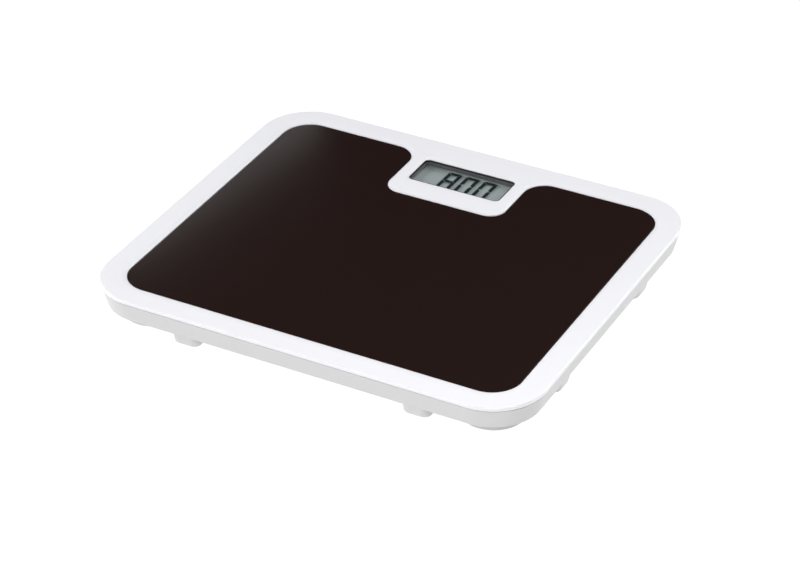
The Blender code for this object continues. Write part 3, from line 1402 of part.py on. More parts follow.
def make_base_group():
    """Base shell, stiffener and the battery compartment."""
    make_base_shell(make_material("white_base", (0.72, 0.72, 0.72), 0.45))
    make_stiffener_plate(make_material("galvanised", (0.55, 0.56, 0.57), 0.4, 1.0))
    make_battery_door(make_material("white_door", (0.72, 0.72, 0.72), 0.45))
    jacket = make_material("battery_jacket", (0.08, 0.1, 0.12), 0.35, 0.3)
    for index in range(BATTERY_COUNT):
        make_battery(jacket, index)
    nickel = make_material("nickel", (0.7, 0.68, 0.62), 0.25, 1.0)
    last = BATTERY_COUNT - 1
    make_contact("contact_positive", 1, (0,), nickel)
    make_contact("contact_negative", 1, (last,), nickel)
    for index in range(last):
        make_contact(f"contact_bridge_{index + 1}", -battery_sign(index), (index, index + 1), nickel)
    red = make_material("wire_red", (0.5, 0.02, 0.02), 0.45)
    black = make_material("wire_black", (0.01, 0.01, 0.01), 0.45)
    make_battery_wire("battery_wire_red", 0, RED_WIRE_BENDS, red)
    make_battery_wire("battery_wire_black", last, BLACK_WIRE_BENDS, black)


def make_foot_group():
    """At each corner: load cell, holder, lead, foot disc and pad."""
    steel = make_material("spring_steel", (0.5, 0.5, 0.51), 0.3, 1.0)
    grey = make_material("holder_grey", (0.25, 0.26, 0.27), 0.5)
    disc_white = make_material("white_disc", (0.6, 0.6, 0.6), 0.5)
    rubber = make_material("pad_rubber", (0.22, 0.22, 0.22), 0.8)
    sleeve = make_material("lead_grey", (0.3, 0.3, 0.32), 0.5)
    coating = make_material("gauge_coating", (0.75, 0.72, 0.6), 0.4)
    for corner in CORNERS:
        make_load_cell(steel, corner)
        make_strain_gauge(coating, corner)
        make_cell_holder(grey, corner)
        make_cell_lead(sleeve, corner)
        axis = make_foot_axis(corner)
        make_foot_disc(disc_white, corner, axis)
        make_foot_pad(rubber, corner, axis)


clear_scene()
make_cover_group()
make_board_group()
make_base_group()
make_foot_group()
make_case_screws(make_material("zinc_screw", (0.6, 0.6, 0.6), 0.35, 1.0))
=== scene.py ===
import math

import bmesh
import bpy
from mathutils import Matrix, Vector


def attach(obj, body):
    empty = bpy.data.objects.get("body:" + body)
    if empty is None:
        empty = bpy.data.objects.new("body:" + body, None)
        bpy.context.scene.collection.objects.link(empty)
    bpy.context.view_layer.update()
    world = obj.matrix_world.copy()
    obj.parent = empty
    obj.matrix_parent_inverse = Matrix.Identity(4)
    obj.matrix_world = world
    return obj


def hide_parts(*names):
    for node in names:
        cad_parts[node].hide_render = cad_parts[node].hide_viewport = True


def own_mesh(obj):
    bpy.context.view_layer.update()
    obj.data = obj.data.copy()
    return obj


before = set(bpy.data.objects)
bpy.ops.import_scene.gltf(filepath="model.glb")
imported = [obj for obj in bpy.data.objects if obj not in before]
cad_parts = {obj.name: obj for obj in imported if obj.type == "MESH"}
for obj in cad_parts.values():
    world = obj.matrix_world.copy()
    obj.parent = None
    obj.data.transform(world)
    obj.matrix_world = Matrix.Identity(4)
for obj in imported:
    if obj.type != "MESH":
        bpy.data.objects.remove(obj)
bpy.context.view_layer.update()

# Base shell: one injection moulding in white ABS, open at the top, with a tapered wall and a rounded edge
# below. The stop posts, foot collars, screw bosses, battery bay and button guide are moulded with it. Its
# outside has the fine matt texture of a spark-eroded tool.
MM = 0.001
GAP = 0.3 * MM
OVERRUN = 1.0 * MM
EMBED = 0.8 * MM
HAIR = 0.01 * MM
SHARP_TURN = math.radians(32.0)
SIDES = ((-1, -1), (1, -1), (-1, 1), (1, 1))
HALF_X = 175.0 * MM
HALF_Y = 150.0 * MM
CASE_RADIUS = 40.0 * MM
CORNER_STEPS = 28
BASE_UNDER = 10.0 * MM
BASE_FLOOR = 12.0 * MM
BASE_TOP = 25.7 * MM
BASE_WALL = 2.2 * MM
BASE_EDGE = 1.0 * MM
BOTTOM_INSET = 4.4 * MM
TOP_INSET = 0.3 * MM
FOOT_X = 136.2 * MM
FOOT_Y = 111.2 * MM
FOOT_HOLE_RADIUS = 24.8 * MM
HOLE_EDGE = 0.4 * MM
POST_HALF_LENGTH = 10.5 * MM
POST_DEPTH = 15.0 * MM
POST_RADIUS = 5.7 * MM
POST_STEP = 0.6 * MM
POST_FOOT = 1.0 * MM
POST_EDGE = 1.2 * MM
POST_SKIN = 2.0 * MM
POST_ALONG = (91.9 * MM, 65.6 * MM)
COLLAR_INNER = 26.9 * MM
COLLAR_OUTER = 28.5 * MM
COLLAR_TOP = 16.0 * MM
CASE_SCREW_PLACES = [(sx * 46.0 * MM, sy * 139.0 * MM) for sx, sy in SIDES]
CASE_SCREW_PLACES += [(-164.0 * MM, 0.0), (164.0 * MM, 0.0)]
BOSS_RADIUS = 4.0 * MM
BOSS_TOP = 17.7 * MM
HEAD_HOLE_RADIUS = 3.1 * MM
HEAD_SEAT = 14.5 * MM
SHANK_HOLE_RADIUS = 1.5 * MM
RIB_Y = (-30.0 * MM, -78.0 * MM)
RIB_HALF = (98.0 * MM, 0.8 * MM)
RIB_TOP = 16.0 * MM
BUTTON_PLACE = (12.0 * MM, 84.0 * MM)
BUTTON_HOLE_RADIUS = 4.4 * MM
GUIDE_INNER = 6.0 * MM
GUIDE_OUTER = 7.2 * MM
GUIDE_TOP = 14.6 * MM
BAY_HALF_X = 27.0 * MM
BAY_FRONT = 7.5 * MM
BAY_BACK = 60.5 * MM
BAY_WALL = 1.5 * MM
BAY_CEILING = 22.9 * MM
BAY_TOP = 24.2 * MM
OPENING_FRONT = 13.5 * MM
WIRE_HOLE_RADIUS = 1.2 * MM
WIRE_HOLE_Y = (21.5 * MM, 54.5 * MM)
WIRE_Z = 19.35 * MM
NOTCH_HALF_X = 7.0 * MM
NOTCH_LENGTH = 6.0 * MM
NOTCH_DEPTH = 1.0 * MM
NOTCH_RADIUS = 3.0 * MM
BASE_WHITE = (0.615, 0.615, 0.615)


class Socket:
    """A value in a material's node tree: sums on it add Math nodes."""

    def __init__(self, paint, socket):
        self.paint = paint
        self.socket = socket

    def maths(self, operation, first, second):
        return self.paint.node("ShaderNodeMath", {"operation": operation}, {0: first, 1: second})

    def __add__(self, other):
        return self.maths("ADD", self, other)

    def __radd__(self, other):
        return self.maths("ADD", other, self)

    def __sub__(self, other):
        return self.maths("SUBTRACT", self, other)

    def __rsub__(self, other):
        return self.maths("SUBTRACT", other, self)

    def __mul__(self, other):
        return self.maths("MULTIPLY", self, other)

    def __rmul__(self, other):
        return self.maths("MULTIPLY", other, self)

    def __gt__(self, other):
        return self.maths("GREATER_THAN", self, other)

    def __lt__(self, other):
        return self.maths("LESS_THAN", self, other)


class Paint:
    """A material in the making, around one Principled shader."""

    def __init__(self, name, **constants):
        self.material = bpy.data.materials.new(name)
        self.material.use_nodes = True
        self.tree = self.material.node_tree
        self.shader = self.tree.nodes["Principled BSDF"]
        for key, value in constants.items():
            self.shader.inputs[key.replace("_", " ").title().replace("Ior", "IOR")].default_value = value

    def join(self, socket, value):
        if isinstance(value, Socket):
            self.tree.links.new(value.socket, socket)
        elif isinstance(value, tuple) and socket.type == "RGBA":
            socket.default_value = (*value, 1.0)
        else:
            socket.default_value = value

    def node(self, kind, settings=None, sockets=None, output=0):
        made = self.tree.nodes.new(kind)
        for key, value in (settings or {}).items():
            setattr(made, key, value)
        for key, value in (sockets or {}).items():
            self.join(made.inputs[key], value)
        return Socket(self, made.outputs[output])

    def place(self, stretch=(1.0, 1.0, 1.0)):
        here = self.node("ShaderNodeTexCoord", output="Object")
        if stretch == (1.0, 1.0, 1.0):
            return here
        return self.node("ShaderNodeVectorMath", {"operation": "MULTIPLY"}, {0: here, 1: stretch})

    def along(self, axis):
        return self.node("ShaderNodeSeparateXYZ", None, {0: self.place()}, output=axis)

    def noise(self, size, detail=2.0, stretch=(1.0, 1.0, 1.0)):
        sockets = {"Vector": self.place(stretch), "Scale": 1.0 / size, "Detail": detail}
        return self.node("ShaderNodeTexNoise", None, sockets)

    def cells(self, size):
        """A random value for each cell of a crystal-like pattern."""
        sockets = {"Vector": self.place(), "Scale": 1.0 / size}
        colour = self.node("ShaderNodeTexVoronoi", None, sockets, output="Color")
        return self.node("ShaderNodeSeparateColor", None, {0: colour})

    def bands(self, size, axis):
        """Even bands: at scale 1 the wave texture repeats after 0.314 metres."""
        sockets = {"Vector": self.place(), "Scale": 0.314 / size}
        return self.node("ShaderNodeTexWave", {"bands_direction": axis}, sockets, output="Fac")

    def mix(self, share, first, second):
        sockets = {0: share, 6: first, 7: second}
        return self.node("ShaderNodeMix", {"data_type": "RGBA"}, sockets, output=2)

    def bump(self, height, depth):
        return self.node("ShaderNodeBump", None, {"Height": height, "Distance": depth})

    def coat(self, **looks):
        for key, value in looks.items():
            self.join(self.shader.inputs[key.replace("_", " ").title()], value)
        return self.material


def shaded(colour, factor):
    """A colour made lighter or darker."""
    return tuple(min(1.0, c * factor) for c in colour)


def moulded(name, colour, roughness, grain, depth, sway=0.02):
    """Moulded plastic: faint flow clouds in its colour, and the tool's texture in gloss and relief."""
    paint = Paint(name)
    cloud = paint.noise(35 * MM, 3.0)
    speck = paint.noise(grain, 3.0)
    return paint.coat(
        base_color=paint.mix(cloud * 0.7 + speck * 0.3, shaded(colour, 1 - sway), shaded(colour, 1 + sway)),
        roughness=roughness - 0.06 + cloud * 0.06 + speck * 0.06,
        normal=paint.bump(speck, depth),
    )


def arc(centre_x, centre_y, radius, start, end, steps):
    """Points along an arc, in degrees, both ends included."""
    angles = [math.radians(start + (end - start) * i / steps) for i in range(steps + 1)]
    return [(centre_x + radius * math.cos(a), centre_y + radius * math.sin(a)) for a in angles]


def rounded(half_x, half_y, radius, steps=CORNER_STEPS, centre=(0.0, 0.0)):
    """A rounded rectangle, counter-clockwise."""
    x, y = half_x - radius, half_y - radius
    points = []
    for sign_x, sign_y, start in ((1, 1, 0), (-1, 1, 90), (-1, -1, 180), (1, -1, 270)):
        points += arc(centre[0] + sign_x * x, centre[1] + sign_y * y, radius, start, start + 90, steps)
    return points


def case_line(inset):
    """The case's outline, drawn in."""
    return rounded(HALF_X - inset, HALF_Y - inset, CASE_RADIUS - inset)


def eased(corners, steps=5):
    """A profile through corners (a, b) or (a, b, radius), with each given radius as an arc."""
    points = []
    for i, corner in enumerate(corners):
        here = Vector(corner[:2])
        radius = corner[2] if len(corner) > 2 else 0.0
        if not radius:
            points.append(tuple(here))
            continue
        before = (Vector(corners[i - 1][:2]) - here).normalized()
        after = (Vector(corners[i + 1][:2]) - here).normalized()
        half = math.acos(max(-1.0, min(1.0, before.dot(after)))) / 2
        centre = here + (before + after).normalized() * (radius / math.sin(half))
        first = here + before * (radius / math.tan(half)) - centre
        last = here + after * (radius / math.tan(half)) - centre
        turn = math.atan2(first.x * last.y - first.y * last.x, first.dot(last))
        for k in range(steps + 1):
            a = turn * k / steps
            x = first.x * math.cos(a) - first.y * math.sin(a)
            y = first.x * math.sin(a) + first.y * math.cos(a)
            points.append((centre.x + x, centre.y + y))
    return points


def add_stack(bm, levels):
    """A closed solid through outlines of equal count, given as (outline, z) from the bottom up."""
    rings = [[bm.verts.new((x, y, z)) for x, y in outline] for outline, z in levels]
    bm.faces.new(list(reversed(rings[0])))
    bm.faces.new(rings[-1])
    for low, high in zip(rings, rings[1:]):
        for i in range(len(low)):
            j = (i + 1) % len(low)
            bm.faces.new((low[i], low[j], high[j], high[i]))


def add_box(bm, low, high, ease=0.0):
    """A box between two corners, its edges eased."""
    outline = [(low[0], low[1]), (high[0], low[1]), (high[0], high[1]), (low[0], high[1])]
    before = set(bm.edges)
    add_stack(bm, [(outline, low[2]), (outline, high[2])])
    if ease:
        edges = [edge for edge in bm.edges if edge not in before]
        bmesh.ops.bevel(bm, geom=edges, offset=ease, segments=3, profile=0.5, affect="EDGES")


def add_turned(bm, profile, sides, centre=(0.0, 0.0), closed=False):
    """A solid turned about a vertical axis from a profile of (radius, z), up its outside."""
    rings = []
    for radius, z in profile:
        if radius < 1e-9:
            rings.append([bm.verts.new((centre[0], centre[1], z))])
            continue
        angles = [2 * math.pi * (i + 0.5) / sides for i in range(sides)]
        ring = [(centre[0] + radius * math.cos(a), centre[1] + radius * math.sin(a), z) for a in angles]
        rings.append([bm.verts.new(point) for point in ring])
    pairs = list(zip(rings, rings[1:]))
    if closed:
        pairs.append((rings[-1], rings[0]))
    for low, high in pairs:
        for i in range(sides):
            j = (i + 1) % sides
            if len(low) == 1:
                bm.faces.new((low[0], high[j], high[i]))
            elif len(high) == 1:
                bm.faces.new((low[i], low[j], high[0]))
            else:
                bm.faces.new((low[i], low[j], high[j], high[i]))


def lay_along_x(bm, start, sign, y, z):
    """Turn the vertices from start on so that their vertical axis runs along X."""
    bm.verts.ensure_lookup_table()
    for vert in bm.verts[start:]:
        x0, y0, z0 = vert.co
        vert.co = Vector((sign * z0, y + sign * y0, z - x0))


def bored(radius, face, ease, depth_z):
    """Profile of a cutter for a hole up through a level face, with a brim that eases the hole's edge."""
    brim = radius + 3 * ease
    face -= HAIR
    end = face - OVERRUN
    corners = [(0.0, end), (brim, end), (brim, face)]
    corners += [(radius, face, ease), (radius, depth_z), (0.0, depth_z)]
    return eased(corners, 4)


def peg(low, high, radius):
    """Profile of a plain round peg or bore."""
    return [(0.0, low), (radius, low), (radius, high), (0.0, high)]


def solid(name, build):
    """A piece from a function that fills a bmesh."""
    bm = bmesh.new()
    build(bm)
    bmesh.ops.recalc_face_normals(bm, faces=bm.faces)
    mesh = bpy.data.meshes.new(name)
    bm.to_mesh(mesh)
    bm.free()
    made = bpy.data.objects.new(name, mesh)
    bpy.context.scene.collection.objects.link(made)
    return made


def worked(piece, operation, *builds):
    """Join shapes to a piece one by one, or take them away."""
    for build in builds:
        tool = solid("tool", build)
        modifier = piece.modifiers.new("work", "BOOLEAN")
        modifier.operation = operation
        modifier.object = tool
        view = bpy.context.evaluated_depsgraph_get()
        mesh = bpy.data.meshes.new_from_object(piece.evaluated_get(view))
        mesh.name = piece.name
        piece.modifiers.clear()
        piece.data = mesh
        bpy.data.objects.remove(tool)


def dressed(piece, material, body, nodes=()):
    """Shade a piece, paint it, and put it on its body in place of the nodes that it stands for."""
    piece.data.materials.clear()
    piece.data.materials.append(material)
    piece.data.shade_smooth()
    piece.data.set_sharp_from_angle(angle=SHARP_TURN)
    weights = piece.modifiers.new("flat faces stay flat", "WEIGHTED_NORMAL")
    weights.keep_sharp = True
    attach(piece, body)
    if nodes:
        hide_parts(*nodes)
    return piece


def wall_inset(z):
    """How far the tapered wall stands in from the case's outline."""
    return BOTTOM_INSET + (z - BASE_UNDER) / (BASE_TOP - BASE_UNDER) * (TOP_INSET - BOTTOM_INSET)


def add_posts(bm, levels):
    """A solid for each stop post through levels of (grow, z): their outer faces follow the wall's taper."""
    stacks = [[] for _ in range(8)]
    for grow, z in levels:
        face = wall_inset(z) + POST_STEP
        back = BOTTOM_INSET + POST_STEP + POST_DEPTH
        line = rounded(POST_HALF_LENGTH + grow, (back - face) / 2 + grow, POST_RADIUS + grow, 10)
        x, y = HALF_X - (face + back) / 2, HALF_Y - (face + back) / 2
        for i, (sx, sy) in enumerate(SIDES):
            stacks[i].append(([(sx * POST_ALONG[0] + a, sy * y + b) for a, b in line], z))
            stacks[i + 4].append(([(sx * x - b, sy * POST_ALONG[1] + a) for a, b in line], z))
    for stack in stacks:
        add_stack(bm, stack)


def base_body(bm):
    corners = [(BOTTOM_INSET + 4 * BASE_EDGE, BASE_UNDER), (BOTTOM_INSET, BASE_UNDER, BASE_EDGE)]
    corners += [(TOP_INSET, BASE_TOP, 0.2 * MM), (TOP_INSET + BASE_WALL / 2, BASE_TOP)]
    add_stack(bm, [(case_line(inset), z) for inset, z in eased(corners)])


def base_cavity(bm):
    top = BASE_TOP + OVERRUN
    low = case_line(wall_inset(BASE_FLOOR) + BASE_WALL)
    add_stack(bm, [(low, BASE_FLOOR), (case_line(wall_inset(top) + BASE_WALL), top)])


def sleeve(inner, outer, top):
    """Profile of a round wall that stands on the floor."""
    root = BASE_FLOOR - EMBED
    return [(inner, root), (outer, root), (outer, top), (inner, top)]


def base_additions(bm):
    root = BASE_FLOOR - EMBED
    foot = eased([(-POST_EDGE * 2, POST_FOOT), (0.0, POST_FOOT, POST_EDGE), (0.0, root)], 6)
    add_posts(bm, foot)
    collar = sleeve(COLLAR_INNER, COLLAR_OUTER, COLLAR_TOP)
    for sx, sy in SIDES:
        add_turned(bm, collar, 72, (sx * FOOT_X, sy * FOOT_Y), closed=True)
    for place in CASE_SCREW_PLACES:
        add_turned(bm, peg(root, BOSS_TOP, BOSS_RADIUS), 32, place)
    low = (-BAY_HALF_X - BAY_WALL, BAY_FRONT - BAY_WALL, root)
    add_box(bm, low, (BAY_HALF_X + BAY_WALL, BAY_BACK + BAY_WALL, BAY_TOP))
    for y in RIB_Y:
        add_box(bm, (-RIB_HALF[0], y - RIB_HALF[1], root), (RIB_HALF[0], y + RIB_HALF[1], RIB_TOP))
    add_turned(bm, sleeve(GUIDE_INNER, GUIDE_OUTER, GUIDE_TOP), 40, BUTTON_PLACE, closed=True)


def base_cuts(bm):
    over = BASE_FLOOR + OVERRUN
    for sx, sy in SIDES:
        profile = bored(FOOT_HOLE_RADIUS, BASE_UNDER, HOLE_EDGE, over)
        add_turned(bm, profile, 96, (sx * FOOT_X, sy * FOOT_Y))
    add_posts(bm, [(-POST_SKIN, POST_FOOT + POST_SKIN), (-POST_SKIN, over)])
    for place in CASE_SCREW_PLACES:
        seat = HEAD_SEAT + GAP
        top = BOSS_TOP + OVERRUN
        head = bored(HEAD_HOLE_RADIUS, BASE_UNDER, HOLE_EDGE, seat)[:-1]
        add_turned(bm, [*head, (SHANK_HOLE_RADIUS, seat), (SHANK_HOLE_RADIUS, top), (0.0, top)], 40, place)
    add_turned(bm, bored(BUTTON_HOLE_RADIUS, BASE_UNDER, HOLE_EDGE, over), 48, BUTTON_PLACE)


def base_bay(bm):
    under = BASE_UNDER - OVERRUN
    add_box(bm, (-BAY_HALF_X, OPENING_FRONT, under), (BAY_HALF_X, BAY_BACK, BAY_CEILING))


def base_bay_front(bm):
    add_box(bm, (-BAY_HALF_X, BAY_FRONT, BASE_FLOOR), (BAY_HALF_X, OPENING_FRONT + OVERRUN, BAY_CEILING))
    for y in WIRE_HOLE_Y:
        start = len(bm.verts)
        add_turned(bm, peg(BAY_HALF_X - OVERRUN, BAY_HALF_X + BAY_WALL + OVERRUN, WIRE_HOLE_RADIUS), 20)
        lay_along_x(bm, start, 1, y, WIRE_Z)


def base_notch(bm):
    outline = rounded(NOTCH_HALF_X, NOTCH_LENGTH, NOTCH_RADIUS, 8, (0.0, BAY_BACK))
    flare = [(x * 1.05, BAY_BACK + (y - BAY_BACK) * 1.1) for x, y in outline]
    add_stack(bm, [(flare, BASE_UNDER - OVERRUN), (flare, BASE_UNDER), (outline, BASE_UNDER + NOTCH_DEPTH)])


base = solid("base_moulding", base_body)
worked(base, "DIFFERENCE", base_cavity)
worked(base, "UNION", base_additions)
worked(base, "DIFFERENCE", base_cuts, base_bay, base_bay_front, base_notch)
base_plastic = moulded("white_base", BASE_WHITE, 0.5, 0.35 * MM, 0.006 * MM)
dressed(base, base_plastic, "case", ["base_shell"])

# Feet: at each corner a moulded disc that hangs by its flange in the base's hole and bears on the load cell
# with its middle post, and a rubber pad with one groove, glued into the disc's recess.
CORNERS = dict(zip(("front_left", "front_right", "back_left", "back_right"), SIDES))
DISC_RADIUS = 24.3 * MM
DISC_BOTTOM = 0.3 * MM
DISC_EDGE = 0.9 * MM
DISC_INNER = 22.5 * MM
DISC_FLOOR = 5.0 * MM
FLANGE_RADIUS = 26.1 * MM
FLANGE_UNDER = 12.3 * MM
FLANGE_TOP = 13.9 * MM
FOOT_POST_RADIUS = 5.5 * MM
FOOT_POST_TOP = 16.2 * MM
PAD_RADIUS = 22.2 * MM
PAD_TOP = 2.5 * MM
PAD_EDGE = 0.5 * MM
GROOVE = (12.0 * MM, 14.0 * MM, 0.8 * MM)
DISC_WHITE = (0.575, 0.575, 0.575)
PAD_GREY = (0.30, 0.30, 0.30)


def foot_disc(bm):
    seat = PAD_TOP + GAP
    pocket = PAD_RADIUS + GAP
    corners = [
        (0.0, seat),
        (pocket, seat, 0.3 * MM),
        (pocket, DISC_BOTTOM, 0.2 * MM),
        (DISC_RADIUS, DISC_BOTTOM, DISC_EDGE),
        (DISC_RADIUS, FLANGE_UNDER, 0.2 * MM),
        (FLANGE_RADIUS, FLANGE_UNDER, 0.3 * MM),
        (FLANGE_RADIUS, FLANGE_TOP, 0.3 * MM),
        (DISC_INNER, FLANGE_TOP, 0.3 * MM),
        (DISC_INNER, DISC_FLOOR, 0.6 * MM),
        (FOOT_POST_RADIUS, DISC_FLOOR, 0.8 * MM),
        (FOOT_POST_RADIUS, FOOT_POST_TOP, 0.6 * MM),
        (0.0, FOOT_POST_TOP),
    ]
    add_turned(bm, eased(corners), 112)


def foot_pad(bm):
    inner, outer, depth = GROOVE
    corners = [
        (0.0, 0.0),
        (inner, 0.0, 0.2 * MM),
        (inner, depth, 0.2 * MM),
        (outer, depth, 0.2 * MM),
        (outer, 0.0, 0.2 * MM),
        (PAD_RADIUS, 0.0, PAD_EDGE),
        (PAD_RADIUS, PAD_TOP),
        (0.0, PAD_TOP),
    ]
    add_turned(bm, eased(corners), 96)


def stamped_out(name, form, x, y, z=0.0, turn=0.0):
    """One more piece of a form, at its own place."""
    twin = bpy.data.objects.new(name, form.data.copy())
    twin.location = (x, y, z)
    twin.rotation_euler.z = turn
    bpy.context.scene.collection.objects.link(twin)
    return twin


disc_plastic = moulded("white_disc", DISC_WHITE, 0.5, 0.35 * MM, 0.006 * MM)
pad_rubber = moulded("pad_rubber", PAD_GREY, 0.85, 0.5 * MM, 0.02 * MM, 0.08)
disc_form = solid("disc_form", foot_disc)
pad_form = solid("pad_form", foot_pad)
for corner, (sx, sy) in CORNERS.items():
    disc = stamped_out(f"foot_disc_{corner}_turned", disc_form, sx * FOOT_X, sy * FOOT_Y)
    dressed(disc, disc_plastic, f"foot_{corner}", [f"foot_disc_{corner}"])
    pad = stamped_out(f"foot_pad_{corner}_turned", pad_form, sx * FOOT_X, sy * FOOT_Y)
    dressed(pad, pad_rubber, f"foot_{corner}", [f"foot_pad_{corner}"])
for form in (disc_form, pad_form):
    bpy.data.objects.remove(form)

# Load cells: spring-steel plates, blanked with a slot that leaves a tongue over each foot's post, with a
# strain gauge bonded on under a cured coating. Each cell sits in a grey nylon holder, screwed by two ears to
# the stiffener, and a lead leaves it.
CELL_SIDE = 36.0 * MM
CELL_CORNER = 3.0 * MM
CELL_LOW = 16.5 * MM
CELL_HIGH = 18.5 * MM
CELL_EDGE = 0.15 * MM
CELL_TONGUE = 6.5 * MM
CELL_SLOT = 1.6 * MM
CELL_REACH = 12.5 * MM
STEEL_GREY = (0.50, 0.50, 0.51)
GAUGE_CREAM = (0.75, 0.72, 0.60)
HOLDER_GREY = (0.25, 0.26, 0.27)
SLEEVE_GREY = (0.30, 0.30, 0.32)
ZINC_GREY = (0.60, 0.60, 0.61)
EAR_OFFSET = 24.5 * MM
RECESS_ARM = 0.22
HOLDER_SCREW = (2.8 * MM, 1.5 * MM, 1.2 * MM, 3.8 * MM, 20.1 * MM)


def finished(material, *names):
    """Give nodes that stay as the part made them their finish."""
    for name in names:
        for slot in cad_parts[name].material_slots:
            slot.material = material


def ground(name, colour, roughness, stretch, sway=0.08):
    """Sheet or bar metal with fine scratches along one direction and soft stains."""
    paint = Paint(name, metallic=1.0)
    scratch = paint.noise(0.8 * MM, 3.0, stretch)
    stain = paint.noise(12 * MM, 3.0)
    tone = scratch * 0.4 + stain * 0.6
    return paint.coat(
        base_color=paint.mix(tone, shaded(colour, 1 - sway), shaded(colour, 1 + sway)),
        roughness=roughness - 0.08 + scratch * 0.1 + stain * 0.08,
        normal=paint.bump(scratch, 0.004 * MM),
    )


def sleeved(name, colour):
    """Extruded insulation: even colour, faint draw marks and finger grease in its gloss."""
    paint = Paint(name)
    grease = paint.noise(6 * MM, 2.0)
    draw = paint.noise(0.3 * MM, 2.0)
    return paint.coat(
        base_color=paint.mix(grease, shaded(colour, 0.9), shaded(colour, 1.08)),
        roughness=0.4 + grease * 0.15,
        normal=paint.bump(draw, 0.005 * MM),
    )


def screw_body(kind):
    """Builder of a screw with its head down: a domed head, and thread ridges on the shank above it."""
    head, height, shank, length, _ = kind

    def build(bm):
        core, pitch = shank * 0.8, shank * 0.7
        corners = [(0.0, -height), (head, -height, height * 0.45), (head, 0.0, 0.08 * MM), (core, 0.0)]
        profile = eased(corners, 5)
        z = 0.0
        while z + pitch < length - shank:
            profile += [(core, z + pitch * 0.35), (shank, z + pitch * 0.5), (core, z + pitch * 0.65)]
            z += pitch
        profile += [(core, length - core), (shank * 0.3, length), (0.0, length)]
        add_turned(bm, profile, 28)

    return build


def screw_recess(kind):
    """Builder of the cross recess in a screw's head."""
    head, height = kind[:2]
    arm, reach, deep = head * RECESS_ARM, head * 0.62, height * 0.65

    def build(bm):
        cross = [(arm, -reach), (arm, -arm), (reach, -arm), (reach, arm), (arm, arm), (arm, reach)]
        cross += [(-x, -y) for x, y in cross]
        tip = [(x * 0.7, y * 0.7) for x, y in cross]
        add_stack(bm, [(cross, -height - OVERRUN), (cross, -height), (tip, deep - height)])

    return build


def driven(name, kind, places, nodes=()):
    """Screws of one kind (head and height, shank and length, seat) at their places, head down."""
    form = solid(f"{name}_form", screw_body(kind))
    worked(form, "DIFFERENCE", screw_recess(kind))
    for index, (x, y) in enumerate(places):
        screw = stamped_out(f"{name}_{index + 1}", form, x, y, kind[4])
        dressed(screw, zinc_plate, "case", nodes[index:index + 1])
    bpy.data.objects.remove(form)


def cell_plate(bm):
    half = CELL_SIDE / 2
    corners = [(-MM, CELL_LOW), (0.0, CELL_LOW, CELL_EDGE), (0.0, CELL_HIGH, CELL_EDGE), (-MM, CELL_HIGH)]
    levels = [(rounded(half + grow, half + grow, CELL_CORNER + grow, 8), z) for grow, z in eased(corners, 3)]
    add_stack(bm, levels)


def cell_slot(bm):
    inner, outer, tip = CELL_TONGUE, CELL_TONGUE + CELL_SLOT, CELL_REACH - CELL_SLOT
    outline = [(-outer, -CELL_REACH), (outer, -CELL_REACH), (outer, CELL_REACH), (inner, CELL_REACH)]
    outline += [(inner, -tip), (-inner, -tip), (-inner, CELL_REACH), (-outer, CELL_REACH)]
    add_stack(bm, [(outline, CELL_LOW - OVERRUN), (outline, CELL_HIGH + OVERRUN)])


zinc_plate = ground("zinc_screw", ZINC_GREY, 0.34, (1.0, 1.0, 1.0), 0.12)
spring_steel = ground("spring_steel", STEEL_GREY, 0.32, (0.06, 1.0, 1.0))
gauge_coating = moulded("gauge_coating", GAUGE_CREAM, 0.3, 1.2 * MM, 0.05 * MM, 0.06)
holder_nylon = moulded("holder_grey", HOLDER_GREY, 0.5, 0.4 * MM, 0.008 * MM, 0.05)
lead_sleeve = sleeved("lead_grey", SLEEVE_GREY)
cell_form = solid("cell_form", cell_plate)
worked(cell_form, "DIFFERENCE", cell_slot)
for corner, (sx, sy) in CORNERS.items():
    x, y, turn = sx * FOOT_X, sy * FOOT_Y, math.atan2(sy, sx) - math.pi / 4
    cell = stamped_out(f"load_cell_{corner}_blanked", cell_form, x, y, 0.0, turn)
    dressed(cell, spring_steel, "case", [f"load_cell_{corner}"])
    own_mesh(cell)
    finished(gauge_coating, f"strain_gauge_{corner}")
    finished(holder_nylon, f"cell_holder_{corner}")
    finished(lead_sleeve, f"cell_lead_{corner}")
bpy.data.objects.remove(cell_form)
ear_places = [(sx * (FOOT_X - EAR_OFFSET), sy * FOOT_Y) for sx, sy in SIDES]
ear_places += [(sx * FOOT_X, sy * (FOOT_Y - EAR_OFFSET)) for sx, sy in SIDES]
driven("holder_screw", HOLDER_SCREW, ear_places)

# Stiffener plate: galvanised steel sheet, blanked and pierced in one stroke, with the zinc's crystals on its
# faces. Six screws with broad heads hold it up to bosses under the cover's tray.
GALVANISED_GREY = (0.55, 0.56, 0.57)
PLATE_SCREW_PLACES = [(sx * 135.0 * MM, sy * 34.0 * MM) for sx, sy in SIDES]
PLATE_SCREW_PLACES += [(sx * 50.0 * MM, -108.0 * MM) for sx in (-1, 1)]
PLATE_SCREW = (4.4 * MM, 1.5 * MM, 1.2 * MM, 3.2 * MM, 22.4 * MM)

zinc_paint = Paint("galvanised", metallic=1.0)
spangle = zinc_paint.cells(9 * MM)
bloom = zinc_paint.noise(30 * MM, 4.0)
zinc_dark, zinc_light = shaded(GALVANISED_GREY, 0.8), shaded(GALVANISED_GREY, 1.15)
galvanised = zinc_paint.coat(
    base_color=zinc_paint.mix(spangle * 0.7 + bloom * 0.3, zinc_dark, zinc_light),
    roughness=0.3 + spangle * 0.14 + bloom * 0.1,
    normal=zinc_paint.bump(zinc_paint.noise(0.5 * MM), 0.006 * MM),
)
finished(galvanised, "stiffener_plate")
driven("plate_screw", PLATE_SCREW, PLATE_SCREW_PLACES)

